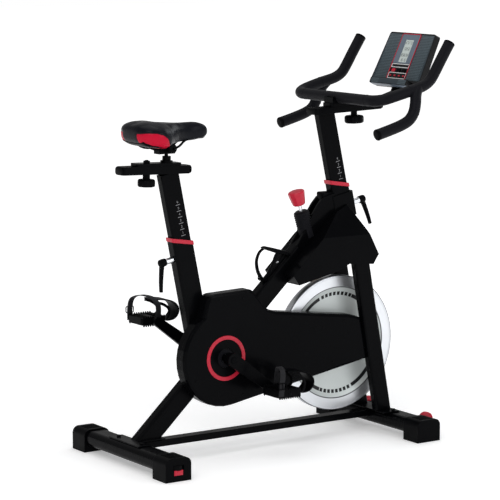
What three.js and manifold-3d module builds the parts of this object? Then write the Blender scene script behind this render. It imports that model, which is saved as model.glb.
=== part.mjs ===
// Indoor cycling bike: a welded steel frame on two stabilisers, a belt-driven
// flywheel, and a saddle and handlebar that slide and clamp.
// Millimetres. X points forward, Y to the rider's left, Z up. Side-view points are
// [x, z] pairs measured from the floor right under the crank axle.
import * as THREE from "three";
import { mergeVertices } from "three/addons/utils/BufferGeometryUtils.js";
import Module from "manifold-3d";

const wasm = await Module();
wasm.setup();

// ---- driving dimensions ----
const BIKE_SHIFT = -214.5; // crank axle's place ahead of the middle of the overall length
const GAP = 0.4; // between touching pieces
const WALL = 2.2; // steel tube

const CRANK = [0, 299];
const CRANK_LENGTH = 170;
const CRANK_DROP = THREE.MathUtils.degToRad(36.1); // right crank, forward and down
const CRANK_Y = 105; // middle of each crank arm
const PEDAL_Y = 166;

const FLYWHEEL = [451.2, 292.4];
const FLYWHEEL_RADIUS = 214.4;
const RIM_INNER = 178;
const RIM_THICK = 28;
const DRIVE_RADIUS = 108;
const DRIVEN_RADIUS = 33;
const BELT_Y = -42;
const BELT_WIDTH = 14;

const BEAM_ANGLE = THREE.MathUtils.degToRad(43); // the long beam, through the crank axle
const BEAM_DEEP = 61.5;
const POST_TUBE_WIDE = 42; // seat and head tubes
const POST_WIDE = 32;
const CAGE_PLACE = 330; // distance up the beam
const TUBE_WIDE = 40;
const SEAT_LEAN = 0.2053; // rearward travel per mm of height
const HEAD_LEAN = 0.2196;
const FORK_LEAN = 0.1855;
const FORK_DEEP = 56;
const FORK_INNER = 46;
const FORK_OUTER = 76;
const DROPOUT_Y = 56; // plates on the fork that hold the flywheel axle

const FLOOR_TUBE = { wide: 76, low: 18, high: 66, front: 258, rear: 222 }; // half lengths
const REAR_FOOT_X = -300;
const FRONT_FOOT_X = 620.5;
const CAP = { wide: 87.5, high: 70, length: 73.6, half: 271.8 };
const PLATE = 4; // welded foot plates

const GUARD_RADIUS = 150;
const GUARD_OUT = -66;
const GUARD_SPLIT = -43;
const GUARD_IN = -21.5;
const SHELL = 3; // moulded plastic

const SEAT_TOP = 652.6; // top of the seat tube
const HEAD_TOP = 789.6; // top of the head tube
const COLLAR = 12.5;
const TOP_SLANT = THREE.MathUtils.degToRad(8.5);
const RAIL_TILT = THREE.MathUtils.degToRad(1.8);
const BAR_RADIUS = 15.2;
const CONSOLE_LEAN = THREE.MathUtils.degToRad(26);

// ---- materials ----
const finish = (color, roughness, metalness = 0) =>
  new THREE.MeshStandardMaterial({ color, roughness, metalness });
const blackPaint = finish(0x101216, 0.35, 0.3);
const blackPlastic = finish(0x121315, 0.5);
const blackRubber = finish(0x0d0d0e, 0.85);
const redPlastic = finish(0xc81e3c, 0.4);
const silver = finish(0xd4d8da, 0.2, 1);
const steel = finish(0x9a9fa3, 0.3, 1);
const castIron = finish(0x3c3f42, 0.5, 0.8);
const vinyl = finish(0x15181d, 0.4);
const consoleGrey = finish(0x4a5866, 0.45);
const screenGlass = finish(0xc9d2cf, 0.2);

// ---- geometry helpers ----
const rad = THREE.MathUtils.degToRad;
const V = (x, y, z) => new THREE.Vector3(x, y, z);
const SIDES = [["left", 1], ["right", -1]];

function toSolid(geometry) {
  const bare = geometry.index ? geometry.toNonIndexed() : geometry.clone();
  for (const name of Object.keys(bare.attributes)) {
    if (name !== "position") bare.deleteAttribute(name);
  }
  const merged = mergeVertices(bare, 1e-3);
  return new wasm.Manifold(
    new wasm.Mesh({
      numProp: 3,
      vertProperties: merged.attributes.position.array,
      triVerts: new Uint32Array(merged.index.array),
    }),
  );
}

function toGeometry(solid) {
  const mesh = solid.getMesh();
  const positions = new Float32Array(mesh.numVert * 3);
  for (let i = 0; i < mesh.numVert; i++) {
    const start = i * mesh.numProp;
    positions.set(mesh.vertProperties.subarray(start, start + 3), i * 3);
  }
  const geometry = new THREE.BufferGeometry();
  geometry.setAttribute("position", new THREE.BufferAttribute(positions, 3));
  geometry.setIndex(new THREE.BufferAttribute(mesh.triVerts, 1));
  geometry.computeVertexNormals();
  return geometry;
}

const join = (first, ...rest) =>
  toGeometry(rest.reduce((sum, g) => sum.add(toSolid(g)), toSolid(first)));
const cut = (first, ...tools) =>
  toGeometry(tools.reduce((left, g) => left.subtract(toSolid(g)), toSolid(first)));

function roundedRectangle(wide, high, radius) {
  const [w, h] = [wide / 2, high / 2];
  const r = Math.min(radius, w - 0.1, h - 0.1);
  const shape = new THREE.Shape();
  shape.absarc(w - r, h - r, r, 0, rad(90));
  shape.absarc(-w + r, h - r, r, rad(90), rad(180));
  shape.absarc(-w + r, -h + r, r, rad(180), rad(270));
  shape.absarc(w - r, -h + r, r, rad(270), rad(360));
  return shape;
}

// A shape pushed along Z from low to high.
function prism(shape, low, high, curveSegments = 2) {
  const options = { depth: high - low, bevelEnabled: false, curveSegments };
  return new THREE.ExtrudeGeometry(shape, options).translate(0, 0, low);
}

// A side-view outline, drawn in x and z, pushed across the bike from yLow to yHigh.
function slab(shape, yLow, yHigh, curveSegments = 6) {
  return prism(shape, 0, yHigh - yLow, curveSegments)
    .rotateX(rad(90))
    .translate(0, yHigh, 0);
}

function box(wide, long, high, x = 0, y = 0, z = 0) {
  return new THREE.BoxGeometry(wide, long, high).translate(x, y, z);
}

// Anything built upright along Z, laid so that Z runs from one point towards another.
function aim(geometry, from, to) {
  const turn = new THREE.Quaternion();
  const direction = to.clone().sub(from).normalize();
  turn.setFromUnitVectors(V(0, 0, 1), direction);
  return geometry.applyQuaternion(turn).translate(from.x, from.y, from.z);
}

function rod(from, to, radius, sides = 14) {
  const length = from.distanceTo(to);
  const shape = new THREE.CylinderGeometry(radius, radius, length, sides)
    .rotateX(rad(90))
    .translate(0, 0, length / 2);
  return aim(shape, from, to);
}

const acrossRod = ([x, z], yLow, yHigh, radius, sides = 18) =>
  rod(V(x, yLow, z), V(x, yHigh, z), radius, sides);

// A profile of [radius, height] points turned about Z.
function turned(points, sides = 28) {
  const profile = points.map(([r, z]) => new THREE.Vector2(r, z));
  return new THREE.LatheGeometry(profile, sides).rotateX(rad(90));
}

// A rectangular tube between two side-view points. deep lies in the side view.
function strut([x0, z0], [x1, z1], deep, wide, { corner = 7, wall = 0, y = 0 } = {}) {
  const length = Math.hypot(x1 - x0, z1 - z0);
  const shape = roundedRectangle(deep, wide, corner);
  if (wall) {
    const inside = roundedRectangle(deep - 2 * wall, wide - 2 * wall, corner - wall);
    shape.holes.push(new THREE.Path(inside.getPoints(2).reverse()));
  }
  const [dx, dz] = [(x1 - x0) / length, (z1 - z0) / length];
  const basis = new THREE.Matrix4().makeBasis(V(dz, 0, -dx), V(0, 1, 0), V(dx, 0, dz));
  return prism(shape, 0, length).applyMatrix4(basis).translate(x0, y, z0);
}

// A round bar along a curve.
function sweep(curve, radius, steps, sides = 12) {
  const section = new THREE.Shape();
  section.absarc(0, 0, radius, 0, rad(360));
  const curveSegments = sides / 2;
  const options = { steps, bevelEnabled: false, extrudePath: curve, curveSegments };
  return new THREE.ExtrudeGeometry(section, options);
}

const smooth = (points, tension = 0.5) =>
  new THREE.CatmullRomCurve3(points, false, "catmullrom", tension);

const bike = new THREE.Group();
bike.position.x = BIKE_SHIFT;

function add(name, geometry, material, parent = bike) {
  const mesh = new THREE.Mesh(geometry, material);
  mesh.name = name;
  parent.add(mesh);
  return mesh;
}

// ---- centre lines of the leaning tubes ----
const seatX = (z) => -117 + SEAT_LEAN * (636 - z);
const headX = (z) => 454.4 + HEAD_LEAN * (811 - z);
const forkX = (z) => 509.2 + FORK_LEAN * (529 - z);
const beamPoint = (s) => [
  CRANK[0] + s * Math.cos(BEAM_ANGLE),
  CRANK[1] + s * Math.sin(BEAM_ANGLE),
];

// ---- stabilisers and feet ----
function floorTube(x, reach, grow = 0) {
  const { wide, low, high } = FLOOR_TUBE;
  const tall = high - low + 2 * grow;
  const shape = roundedRectangle(wide + 2 * grow, tall, 19 + grow);
  if (!grow) {
    const inside = roundedRectangle(wide - 2 * WALL, tall - 2 * WALL, 17);
    shape.holes.push(new THREE.Path(inside.getPoints(3).reverse()));
  }
  const tube = slab(shape, -reach - grow, reach + grow, 3);
  return tube.translate(x, 0, (low + high) / 2);
}

function footBody(x, side) {
  const { wide, high, length, half } = CAP;
  const shape = new THREE.Shape();
  const w = wide / 2;
  const round = 20;
  shape.moveTo(-w, 0);
  shape.lineTo(w, 0);
  shape.absarc(w - round, high - round, round, 0, rad(90));
  shape.absarc(-w + round, high - round, round, rad(90), rad(180));
  const [low, top] = side > 0 ? [half - length, half] : [-half, length - half];
  return slab(shape, low, top, 4).translate(x, 0, 0);
}

const LEVELLER = { radius: 24, thick: 15, high: 40, out: 250 };

function levelWheel(side, grow = 0) {
  const { radius, thick, high, out } = LEVELLER;
  const wheel = new THREE.CylinderGeometry(radius + grow, radius + grow, thick + 2 * grow, 24);
  return wheel.rotateX(rad(90)).translate(REAR_FOOT_X, side * out, high);
}

const ROLLER = { radius: 24, thick: 18, x: FRONT_FOOT_X + 81.5, y: 150, z: 40 };

function rollerFork(side) {
  const { thick, x, y, z } = ROLLER;
  const ear = 4;
  const start = FRONT_FOOT_X + FLOOR_TUBE.wide / 2 - 1;
  const ears = [-1, 1].map((e) => {
    const middle = side * y + e * (thick / 2 + 1.5 + ear / 2);
    const arm = box(x - start, ear, 20, (x + start) / 2, middle, z);
    return join(arm, acrossRod([x, z], middle - ear / 2, middle + ear / 2, 10));
  });
  const axle = acrossRod([x, z], side * y - thick / 2 - 3, side * y + thick / 2 + 3, 4, 12);
  return [...ears, axle];
}

function buildFeet() {
  for (const [where, x] of [["rear", REAR_FOOT_X], ["front", FRONT_FOOT_X]]) {
    const reach = FLOOR_TUBE[where];
    const brackets = where === "front" ? SIDES.flatMap(([, side]) => rollerFork(side)) : [];
    add(where + "_stabiliser", join(floorTube(x, reach), ...brackets), blackPaint);
    for (const [hand, side] of SIDES) {
      let cap = cut(footBody(x, side), floorTube(x, reach, GAP));
      if (where === "rear") {
        const { radius, thick, high } = LEVELLER;
        const window = box(2 * radius - 10, 20, thick + 1.6, x, side * (CAP.half - 9), high);
        cap = cut(cap, levelWheel(side, 0.8), window);
        add("leveller_" + hand, levelWheel(side), redPlastic);
      } else {
        const { radius, thick, x: wx, y, z } = ROLLER;
        const tyre = turned([[4.6, -9], [radius - 3, -9], [radius, -6], [radius, 6],
          [radius - 3, 9], [4.6, 9], [4.6, -9]]);
        tyre.rotateX(rad(90)).translate(wx, side * y, z);
        add("transport_wheel_" + hand, tyre, redPlastic);
      }
      add("foot_" + where + "_" + hand, cap, blackRubber);
    }
  }
}

// ---- frame ----
function beam(grow = 0) {
  const options = { corner: 8 + grow, wall: grow ? 0 : WALL };
  const deep = BEAM_DEEP + 2 * grow;
  return strut(beamPoint(-381), beamPoint(638), deep, TUBE_WIDE + 2 * grow, options);
}

function headTube(grow = 0, from = HEAD_TOP - 180, to = HEAD_TOP) {
  const options = { corner: 9 + grow, wall: grow ? 0 : WALL };
  const start = [headX(from - grow), from - grow];
  const end = [headX(to + grow), to + grow];
  return strut(start, end, 66 + 2 * grow, POST_TUBE_WIDE + 2 * grow, options);
}

function seatTube(grow = 0) {
  const end = [seatX(SEAT_TOP + 20), SEAT_TOP + 20];
  const wide = POST_TUBE_WIDE + 2 * grow;
  const options = { corner: 8, wall: grow ? 0 : WALL };
  return strut([seatX(262), 262], end, 70 + 2 * grow, wide, options);
}

// The tubes' tops and their collars are cut on a plane that falls towards the front.
// side 1 is everything above the plane through a tube's middle at z, and -1 everything below.
const pastSlant = (centre, z, side) =>
  box(300, 200, 120, 0, 0, 60 * side).rotateY(TOP_SLANT).translate(centre(z), 0, z);

const CROWN_Z = 604;

function crown(grow = 0) {
  const wide = 2 * FORK_OUTER + 2 * grow;
  return box(78 + 2 * grow, wide, 12 + 2 * grow, forkX(CROWN_Z), 0, CROWN_Z + 6);
}

const BRAKE_LEAN = rad(17);
// A point on the brake's axis, at a distance from the flywheel's centre.
const brakePoint = (r, y = 0) =>
  V(FLYWHEEL[0] - r * Math.sin(BRAKE_LEAN), y, FLYWHEEL[1] + r * Math.cos(BRAKE_LEAN));
const brakeBore = (radius) => rod(brakePoint(230), brakePoint(460), radius, 24);

function buildFrame() {
  const { low, high, wide } = FLOOR_TUBE;
  const plateTop = high + GAP + PLATE;
  const belowPlate = box(400, 200, 400, REAR_FOOT_X, 0, plateTop - 1 - 200);
  const axleHole = acrossRod(CRANK, -60, 60, 26);
  const bolts = (x, y) => [-y, y].map((at) =>
    rod(V(x, at, plateTop - 1), V(x, at, plateTop + 5), 6.5, 6));
  const plateZ = high + GAP + PLATE / 2;
  const rearPlate = box(46, 170, PLATE, REAR_FOOT_X, 0, plateZ);
  const rearTongue = box(110, 60, PLATE, REAR_FOOT_X + 50, 0, plateZ);
  const headRear = strut([headX(540), 540], [headX(860), 860], 66 + 2 * GAP, 60, { corner: 2 });
  const rearBolts = bolts(REAR_FOOT_X, 66);
  const footedBeam = join(cut(beam(), belowPlate), rearPlate, rearTongue, ...rearBolts);
  add("main_beam", cut(footedBeam, headRear, axleHole, brakeBore(9)), blackPaint);

  const seat = cut(seatTube(), pastSlant(seatX, SEAT_TOP, 1));
  const bolt = rod(V(seatX(612), 0, 612), V(seatX(612) - 60, 0, 612 - 60 * SEAT_LEAN), 6, 12);
  add("seat_tube", cut(seat, beam(GAP), acrossRod(CRANK, -60, 60, 27), bolt), blackPaint);

  const sleeve = cut(
    headTube(0, HEAD_TOP - 180, HEAD_TOP + 20),
    pastSlant(headX, HEAD_TOP, 1),
    rod(V(headX(722), 0, 722), V(headX(722) + 60, 0, 722 + 60 * HEAD_LEAN), 6, 12),
  );
  add("head_tube", join(sleeve, crown()), blackPaint);

  for (const [hand, side] of SIDES) {
    const y = side * (FORK_INNER + FORK_OUTER) / 2;
    const top = CROWN_Z + 2;
    const leg = strut([forkX(50), 50], [forkX(top), top], FORK_DEEP, 30, { y, wall: WALL });
    const [dropRear, dropFront] = [FLYWHEEL[0], forkX(FLYWHEEL[1]) - 20];
    const dropMiddle = (dropRear + dropFront) / 2;
    const dropY = side * DROPOUT_Y;
    const dropout = box(dropFront - dropRear, 6, 44, dropMiddle, dropY, FLYWHEEL[1]);
    const eye = acrossRod(FLYWHEEL, dropY - 3, dropY + 3, 22);
    const hole = acrossRod(FLYWHEEL, dropY - 5, dropY + 5, 8.9);
    const underPlate = box(300, 300, 200, forkX(50), 0, plateTop + GAP - 100);
    const trimmed = cut(leg, crown(GAP), underPlate);
    add("fork_leg_" + hand, cut(join(trimmed, dropout, eye), hole), blackPaint);
  }

  const barLow = 42;
  const barFront = FRONT_FOOT_X - wide / 2 - GAP;
  const barRear = REAR_FOOT_X + wide / 2 + GAP;
  const bar = strut([barRear, barLow + 10.5], [barFront, barLow + 10.5], 21, TUBE_WIDE, {
    corner: 3,
    wall: WALL,
  });
  add("base_bar", bar, blackPaint);

  const frontPlate = box(60, 220, PLATE, FRONT_FOOT_X - 22, 0, plateZ);
  add("front_foot_plate", join(frontPlate, ...bolts(FRONT_FOOT_X - 6, 96)), blackPaint);

  const shell = turned([[10.4, -28], [25.4, -28], [25.4, 28], [10.4, 28], [10.4, -28]]);
  add("crank_shell", shell.rotateX(rad(90)).translate(0, 0, CRANK[1]), steel);
  add("flywheel_axle", acrossRod(FLYWHEEL, -61.5, 68, 8.5), steel);
}

// ---- belt drive ----
function buildDrive() {
  const flat = rad(90);
  const half = RIM_THICK / 2;
  const wheel = turned(
    [[9.2, -17], [32, -17], [34, -9], [RIM_INNER - 12, -6], [RIM_INNER, -half],
      [FLYWHEEL_RADIUS - 2, -half], [FLYWHEEL_RADIUS, 2 - half], [FLYWHEEL_RADIUS, half - 2],
      [FLYWHEEL_RADIUS - 2, half], [RIM_INNER, half], [RIM_INNER - 12, 6], [34, 9], [32, 17],
      [9.2, 17], [9.2, -17]],
    44,
  );
  add("flywheel", wheel.rotateX(flat).translate(FLYWHEEL[0], 0, FLYWHEEL[1]), silver);

  const w = BELT_WIDTH / 2;
  const driven = turned(
    [[9.2, -w - 2], [DRIVEN_RADIUS + 3, -w - 2], [DRIVEN_RADIUS + 3, -w], [DRIVEN_RADIUS, -w + 0.5],
      [DRIVEN_RADIUS, w - 0.5], [DRIVEN_RADIUS + 3, w], [20, w + 2], [20, 24.6],
      [9.2, 24.6], [9.2, -w - 2]],
    20,
  );
  driven.rotateX(-flat).translate(FLYWHEEL[0], BELT_Y, FLYWHEEL[1]);
  add("driven_pulley", driven, castIron);

  const drive = turned(
    [[11, -w - 2], [26, -w - 2], [30, -4], [DRIVE_RADIUS - 14, -4], [DRIVE_RADIUS - 8, -w],
      [DRIVE_RADIUS, -w], [DRIVE_RADIUS, w], [DRIVE_RADIUS - 8, w], [DRIVE_RADIUS - 14, 4],
      [30, 4], [26, w + 2], [11, w + 2], [11, -w - 2]],
    36,
  );
  drive.rotateX(flat).translate(CRANK[0], BELT_Y, CRANK[1]);
  add("drive_pulley", drive, castIron);

  const loop = (grow) => {
    const [big, small] = [DRIVE_RADIUS + grow, DRIVEN_RADIUS + grow];
    const [dx, dz] = [FLYWHEEL[0] - CRANK[0], FLYWHEEL[1] - CRANK[1]];
    const slope = Math.atan2(dz, dx);
    const open = Math.acos((big - small) / Math.hypot(dx, dz));
    const path = new THREE.Shape();
    path.absarc(...FLYWHEEL, small, slope - open, slope + open);
    path.absarc(...CRANK, big, slope + open, slope - open + rad(360));
    return path;
  };
  const belt = loop(4);
  belt.holes.push(new THREE.Path(loop(GAP + 0.2).getPoints(12).reverse()));
  add("drive_belt", slab(belt, BELT_Y - w + 1, BELT_Y + w - 1, 12), blackRubber);
}

// ---- belt guard ----
// The outline, drawn in by an inset: round at the crank, flat on top, running down
// to the fork leg in front.
function guardOutline(inset) {
  const r = GUARD_RADIUS - inset;
  const tilt = rad(10.1); // of the bottom edge
  const shape = new THREE.Shape();
  const bottomAt = (x) =>
    CRANK[1] + Math.tan(tilt) * x - r / Math.cos(tilt);
  const front = (z) => forkX(z) - FORK_DEEP / 2 / Math.cos(Math.atan(FORK_LEAN)) - 1.5 - inset;
  shape.moveTo(front(238), bottomAt(front(238)));
  shape.lineTo(front(374) + 0, 374 - inset);
  shape.quadraticCurveTo(484, 385 - inset, 462, 388.5 - inset);
  shape.lineTo(206, 421 - inset);
  shape.quadraticCurveTo(158 - inset, 427 - inset, 143 - inset, 446);
  shape.lineTo(104 - inset, 492 - inset);
  shape.quadraticCurveTo(97 - inset, 501 - inset, 86, 501 - inset);
  shape.lineTo(-40, 497 - inset);
  shape.quadraticCurveTo(-62 + inset, 496 - inset, -68 + inset, 470);
  shape.lineTo(-78 + inset, 428);
  shape.absarc(...CRANK, r, rad(121), rad(270) + tilt);
  return shape;
}

function buildGuard() {
  const half = GUARD_SPLIT - GAP / 2;
  const outer = new THREE.ExtrudeGeometry(guardOutline(0), {
    depth: 40,
    bevelThickness: 9,
    bevelSize: 9,
    bevelOffset: -9,
    bevelSegments: 2,
    curveSegments: 7,
  }).rotateX(rad(90)).translate(0, GUARD_OUT + 9 + 40, 0);
  const inner = slab(guardOutline(SHELL), GUARD_OUT + SHELL + 1, GUARD_IN - SHELL, 7);
  const keepOut = box(2000, 200, 1200, 0, half + 100, 400);
  const keepIn = box(2000, 200, 1200, 0, half + GAP - 100, 400);
  const crankHole = acrossRod(CRANK, -90, 0, 30);
  const axleSlot = box(130, 8, 54, 490, -DROPOUT_Y, FLYWHEEL[1]);
  const right = cut(outer, inner, keepOut, crankHole, axleSlot);
  add("belt_guard_outer", right, blackPlastic);
  const back = slab(guardOutline(0), GUARD_SPLIT - 10, GUARD_IN, 7);
  const left = cut(back, inner, keepIn, acrossRod(CRANK, -60, 0, 30),
    acrossRod(FLYWHEEL, -60, 0, 40));
  add("belt_guard_inner", left, blackPlastic);
}

// ---- shroud over the fork crown ----
const SHROUD_Y = 79;

function shroudOutline(inset) {
  const shape = new THREE.Shape();
  shape.moveTo(262, 500 + inset);
  shape.lineTo(402, 530 + inset);
  shape.lineTo(452, 551 + inset);
  shape.lineTo(545 - inset, 543 + inset);
  shape.quadraticCurveTo(556 - inset, 560, 566 - inset, 573);
  shape.lineTo(524.4 - inset, 651.6);
  shape.lineTo(476 - inset, 731 - inset);
  shape.lineTo(430, 712 - inset);
  shape.lineTo(240 + inset, 530);
  return shape;
}

function buildShroud() {
  for (const [hand, side] of SIDES) {
    const [near, far] = side > 0 ? [GAP / 2, SHROUD_Y] : [-SHROUD_Y, -GAP / 2];
    const outer = slab(shroudOutline(0), near, far);
    const inner = slab(shroudOutline(SHELL), side > 0 ? -5 : -SHROUD_Y + SHELL,
      side > 0 ? SHROUD_Y - SHELL : 5);
    const taper = (offset) => box(900, 200, 900, 0, side * 100, 0)
      .rotateX(side * rad(27))
      .translate(430, side * (30 + offset), 735);
    const hollow = cut(inner, taper(-SHELL));
    const openBelow = box(300, 2 * FORK_OUTER + 2, 60, 452, 0, 530);
    const shell = cut(outer, taper(0), hollow, beam(0.8), headTube(0.8, 560, 830),
      openBelow, brakeBore(25));
    add("shroud_" + hand, shell, blackPlastic);
  }
}

// ---- cranks and pedals ----
const PEDAL = { long: 86, wide: 84, high: 22 };

function crankArm(side) {
  const [big, small] = [21, 14.5];
  const arm = new THREE.Shape();
  const open = Math.acos((big - small) / CRANK_LENGTH);
  arm.absarc(CRANK_LENGTH, 0, small, -open, open);
  arm.absarc(0, 0, big, open, rad(360) - open);
  const y = side * CRANK_Y;
  const blade = slab(arm, y - 6.5, y + 6.5, 8);
  const hub = acrossRod([0, 0], Math.min(side * 80, y), Math.max(side * 80, y), 20);
  const [near, far] = [side * 108, side * 206];
  const spindle = acrossRod([CRANK_LENGTH, 0], Math.min(near, far), Math.max(near, far), 6, 16);
  const bore = acrossRod([0, 0], Math.min(0, side * 101), Math.max(0, side * 101), 10 + GAP);
  return cut(join(blade, hub, spindle), bore);
}

// A pedal round its own spindle: a platform with two windows.
function pedalBody() {
  const { long, wide, high } = PEDAL;
  const outline = roundedRectangle(long, wide, 10);
  for (const end of [-1, 1]) {
    const window = roundedRectangle(long / 2 - 20, wide - 26, 4).getPoints(2).reverse();
    outline.holes.push(new THREE.Path(window.map((p) => p.add({ x: (end * long) / 4.2, y: 0 }))));
  }
  const body = prism(outline, -high / 2, high / 2);
  return cut(body, acrossRod([0, 0], -60, 60, 6 + GAP, 16));
}

// A springy toe cage with its strap, on the front of a pedal.
function toeCage() {
  const path = smooth([V(0, 0, 0), V(30, 0, -3), V(52, 0, 10), V(50, 0, 36), V(20, 0, 56),
    V(-30, 0, 61.5), V(-62, 0, 61.5)]);
  const strip = roundedRectangle(3, 46, 1.2);
  const options = { steps: 12, bevelEnabled: false, extrudePath: path, curveSegments: 1 };
  const clip = new THREE.ExtrudeGeometry(strip, options);
  const strap = roundedRectangle(PEDAL.wide + 12, 76, 26);
  strap.holes.push(new THREE.Path(roundedRectangle(PEDAL.wide + 7, 71, 23.5).getPoints(3).reverse()));
  const loop = prism(strap, -8, 8, 3)
    .applyMatrix4(new THREE.Matrix4().makeBasis(V(0, 1, 0), V(0, 0, 1), V(1, 0, 0)))
    .translate(-10, 0, 25);
  const strapOver = cut(loop, box(60, 120, 60, -10, 0, 7.5 - 30));
  return join(clip.translate(PEDAL.long / 2 + 1.9, 0, 0), strapOver);
}

function buildCranks() {
  add("crank_axle", acrossRod(CRANK, -100, 100, 10), steel);
  for (const [hand, side] of SIDES) {
    const angle = side < 0 ? CRANK_DROP : CRANK_DROP + Math.PI;
    const arm = add("crank_arm_" + hand, crankArm(side), blackPaint);
    arm.position.set(CRANK[0], 0, CRANK[1]);
    arm.rotation.y = angle;
    const pedal = new THREE.Group();
    pedal.position.set(
      CRANK[0] + CRANK_LENGTH * Math.cos(angle),
      side * PEDAL_Y,
      CRANK[1] - CRANK_LENGTH * Math.sin(angle),
    );
    bike.add(pedal);
    add("pedal_" + hand, pedalBody(), blackPlastic, pedal);
    add("toe_cage_" + hand, toeCage(), blackPlastic, pedal);
  }
}

// ---- brake ----
function buildBrake() {
  const body = rod(brakePoint(360), brakePoint(441), 24, 24);
  const bore = rod(brakePoint(340), brakePoint(470), 9, 20);
  add("brake_housing", cut(body, beam(GAP), bore), blackRubber);
  add("brake_rod", rod(brakePoint(236.5), brakePoint(470), 6, 16), steel);
  const knob = new THREE.CylinderGeometry(27, 20, 44, 8).rotateX(rad(90)).translate(0, 0, 22);
  const socket = rod(brakePoint(450), brakePoint(471), 6 + GAP, 16);
  add("brake_knob", cut(aim(knob, brakePoint(466), brakePoint(500)), socket), redPlastic);
  const block = box(64, 24, 12, 0, 0, 6);
  add("brake_pad", aim(block, brakePoint(219.5), brakePoint(300)), castIron);
}

// ---- seat ----
const SEAT_RAIL = { x: -212, z: 879, length: 238, wide: 43, high: 25 };
const SADDLE_KNOB_X = -25; // along the rail from its middle
const SADDLE_POST_X = 44;
const SADDLE_PIVOT = [-168, 942];
const onSeatRail = (geometry) =>
  geometry.rotateY(RAIL_TILT).translate(SEAT_RAIL.x, 0, SEAT_RAIL.z);

function saddleOutline(inset) {
  const shape = new THREE.Shape();
  const half = [[-297, 0], [-294, 44], [-272, 84], [-236, 98], [-196, 88], [-158, 54],
    [-120, 32], [-70, 24], [-34, 19], [-22, 0]];
  const pull = (x, y) => {
    const mid = -190;
    return [x + Math.sign(mid - x) * Math.min(inset, Math.abs(mid - x)), Math.max(0, y - inset)];
  };
  const left = half.map(([x, y]) => pull(x, y));
  const right = left.slice(1, -1).reverse().map(([x, y]) => [x, -y]);
  const points = [...left, ...right].map(([x, y]) => V(x, y, 0));
  const loop = new THREE.CatmullRomCurve3(points, true, "catmullrom", 0.5);
  shape.setFromPoints(loop.getPoints(36).map((p) => new THREE.Vector2(p.x, p.y)));
  return shape;
}

function buildSeat() {
  const collar = (centre, z, deep) => {
    const [from, to] = [[centre(z - 30), z - 30], [centre(z + 40), z + 40]];
    const outer = strut(from, to, deep + 4, POST_TUBE_WIDE + 4, { corner: 9 });
    const inner = strut(from, to, deep - 4.6, POST_WIDE + 1.2, { corner: 6 });
    const [under, over] = [pastSlant(centre, z + GAP, -1), pastSlant(centre, z + COLLAR, 1)];
    return cut(outer, inner, under, over);
  };
  add("seat_collar", collar(seatX, SEAT_TOP, 70), redPlastic);
  add("head_collar", collar(headX, HEAD_TOP, 66), redPlastic);

  const { length, wide, high } = SEAT_RAIL;
  const rail = prism(roundedRectangle(length, wide, 12), -high / 2, high / 2, 4);
  const slot = box(98, 12, 60, SADDLE_KNOB_X - 27.5, 0, 0);
  const postTop = 866;
  const postEnds = [[seatX(440), 440], [seatX(postTop), postTop]];
  const post = strut(...postEnds, 63.5, POST_WIDE, { corner: 6, wall: 2 });
  const plug = box(50, 20, 8, seatX(862), 0, 868);
  add("seat_post", join(cut(onSeatRail(rail), onSeatRail(slot)), post, plug), blackPaint);

  const top = high / 2 + GAP;
  const plate = prism(roundedRectangle(156, 44, 8), top, top + 8).translate(8, 0, 0);
  const nut = rod(V(SADDLE_KNOB_X, 0, top + 7), V(SADDLE_KNOB_X, 0, top + 15), 10, 6);
  const flange = rod(V(SADDLE_POST_X, 0, top + 7), V(SADDLE_POST_X, 0, top + 14), 19);
  const stem = rod(V(SADDLE_POST_X, 0, top + 7), V(SADDLE_POST_X, 0, 40), 13);
  const through = rod(V(SADDLE_KNOB_X, 0, 0), V(SADDLE_KNOB_X, 0, 60), 5.6, 16);
  const carriage = cut(join(plate, nut, flange, stem), through);
  const [px, pz] = SADDLE_PIVOT;
  const neck = rod(V(px, 0, pz - 30), V(px, 0, pz), 5.5, 12);
  const trunnion = acrossRod([px, pz], -12, 12, 5);
  add("saddle_carriage", join(onSeatRail(carriage), neck, trunnion), blackPaint);

  const knob = turned([[0, -50], [22, -50], [26.5, -46], [26.5, -30], [23, -25], [11, -24],
    [11, -13.2], [5, -13], [5, 30], [0, 30]], 24).translate(SADDLE_KNOB_X, 0, 0);
  add("saddle_knob", onSeatRail(knob), blackPlastic);

  // The clamp rocks on the carriage's trunnion, so its underside has a pocket for the neck.
  const block = join(box(56, 30, 24, px - 6, 0, pz - 5), acrossRod([px, pz], -36, 36, 13));
  const pocket = box(23, 14, 36, px, 0, pz - 11);
  const clamp = cut(block, pocket, acrossRod([px, pz], -12.6, 12.6, 5.3));
  const railPath = [[-262, 32, 968], [-244, 28, 950], [-222, 24, 942], [-185, 22, 942],
    [-150, 22, 942], [-132, 19, 948], [-112, 15, 962], [-86, 9, 967], [-72, 0, 967.5]];
  const left = railPath.map(([x, y, z]) => V(x, y, z));
  const right = railPath.slice(0, -1).reverse().map(([x, y, z]) => V(x, -y, z));
  const wire = (radius) => sweep(smooth([...left, ...right]), radius, 40, 6);
  add("saddle_clamp", cut(clamp, wire(4.4)), blackPlastic);
  add("saddle_rails", wire(3.6), steel);
  const base = prism(saddleOutline(6), 962, 973, 1);
  add("saddle_base", cut(base, wire(4.2)), blackPlastic);
  const cushion = new THREE.ExtrudeGeometry(saddleOutline(0), {
    depth: 26,
    bevelThickness: 13,
    bevelSize: 12,
    bevelOffset: -12,
    bevelSegments: 2,
  });
  add("saddle_cushion", cut(cushion.translate(0, 0, 984), box(400, 300, 20, -160, 0, 963.4)), vinyl);
}

// ---- handlebar ----
const BAR_RAIL = { x: 488.5, z: 1029.4, length: 259, wide: 50, high: 20 };
const BAR_RAIL_TILT = rad(-1.9);
const BAR_KNOB_X = 34;
const onBarRail = (geometry) =>
  geometry.rotateY(BAR_RAIL_TILT).translate(BAR_RAIL.x, 0, BAR_RAIL.z);

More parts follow.
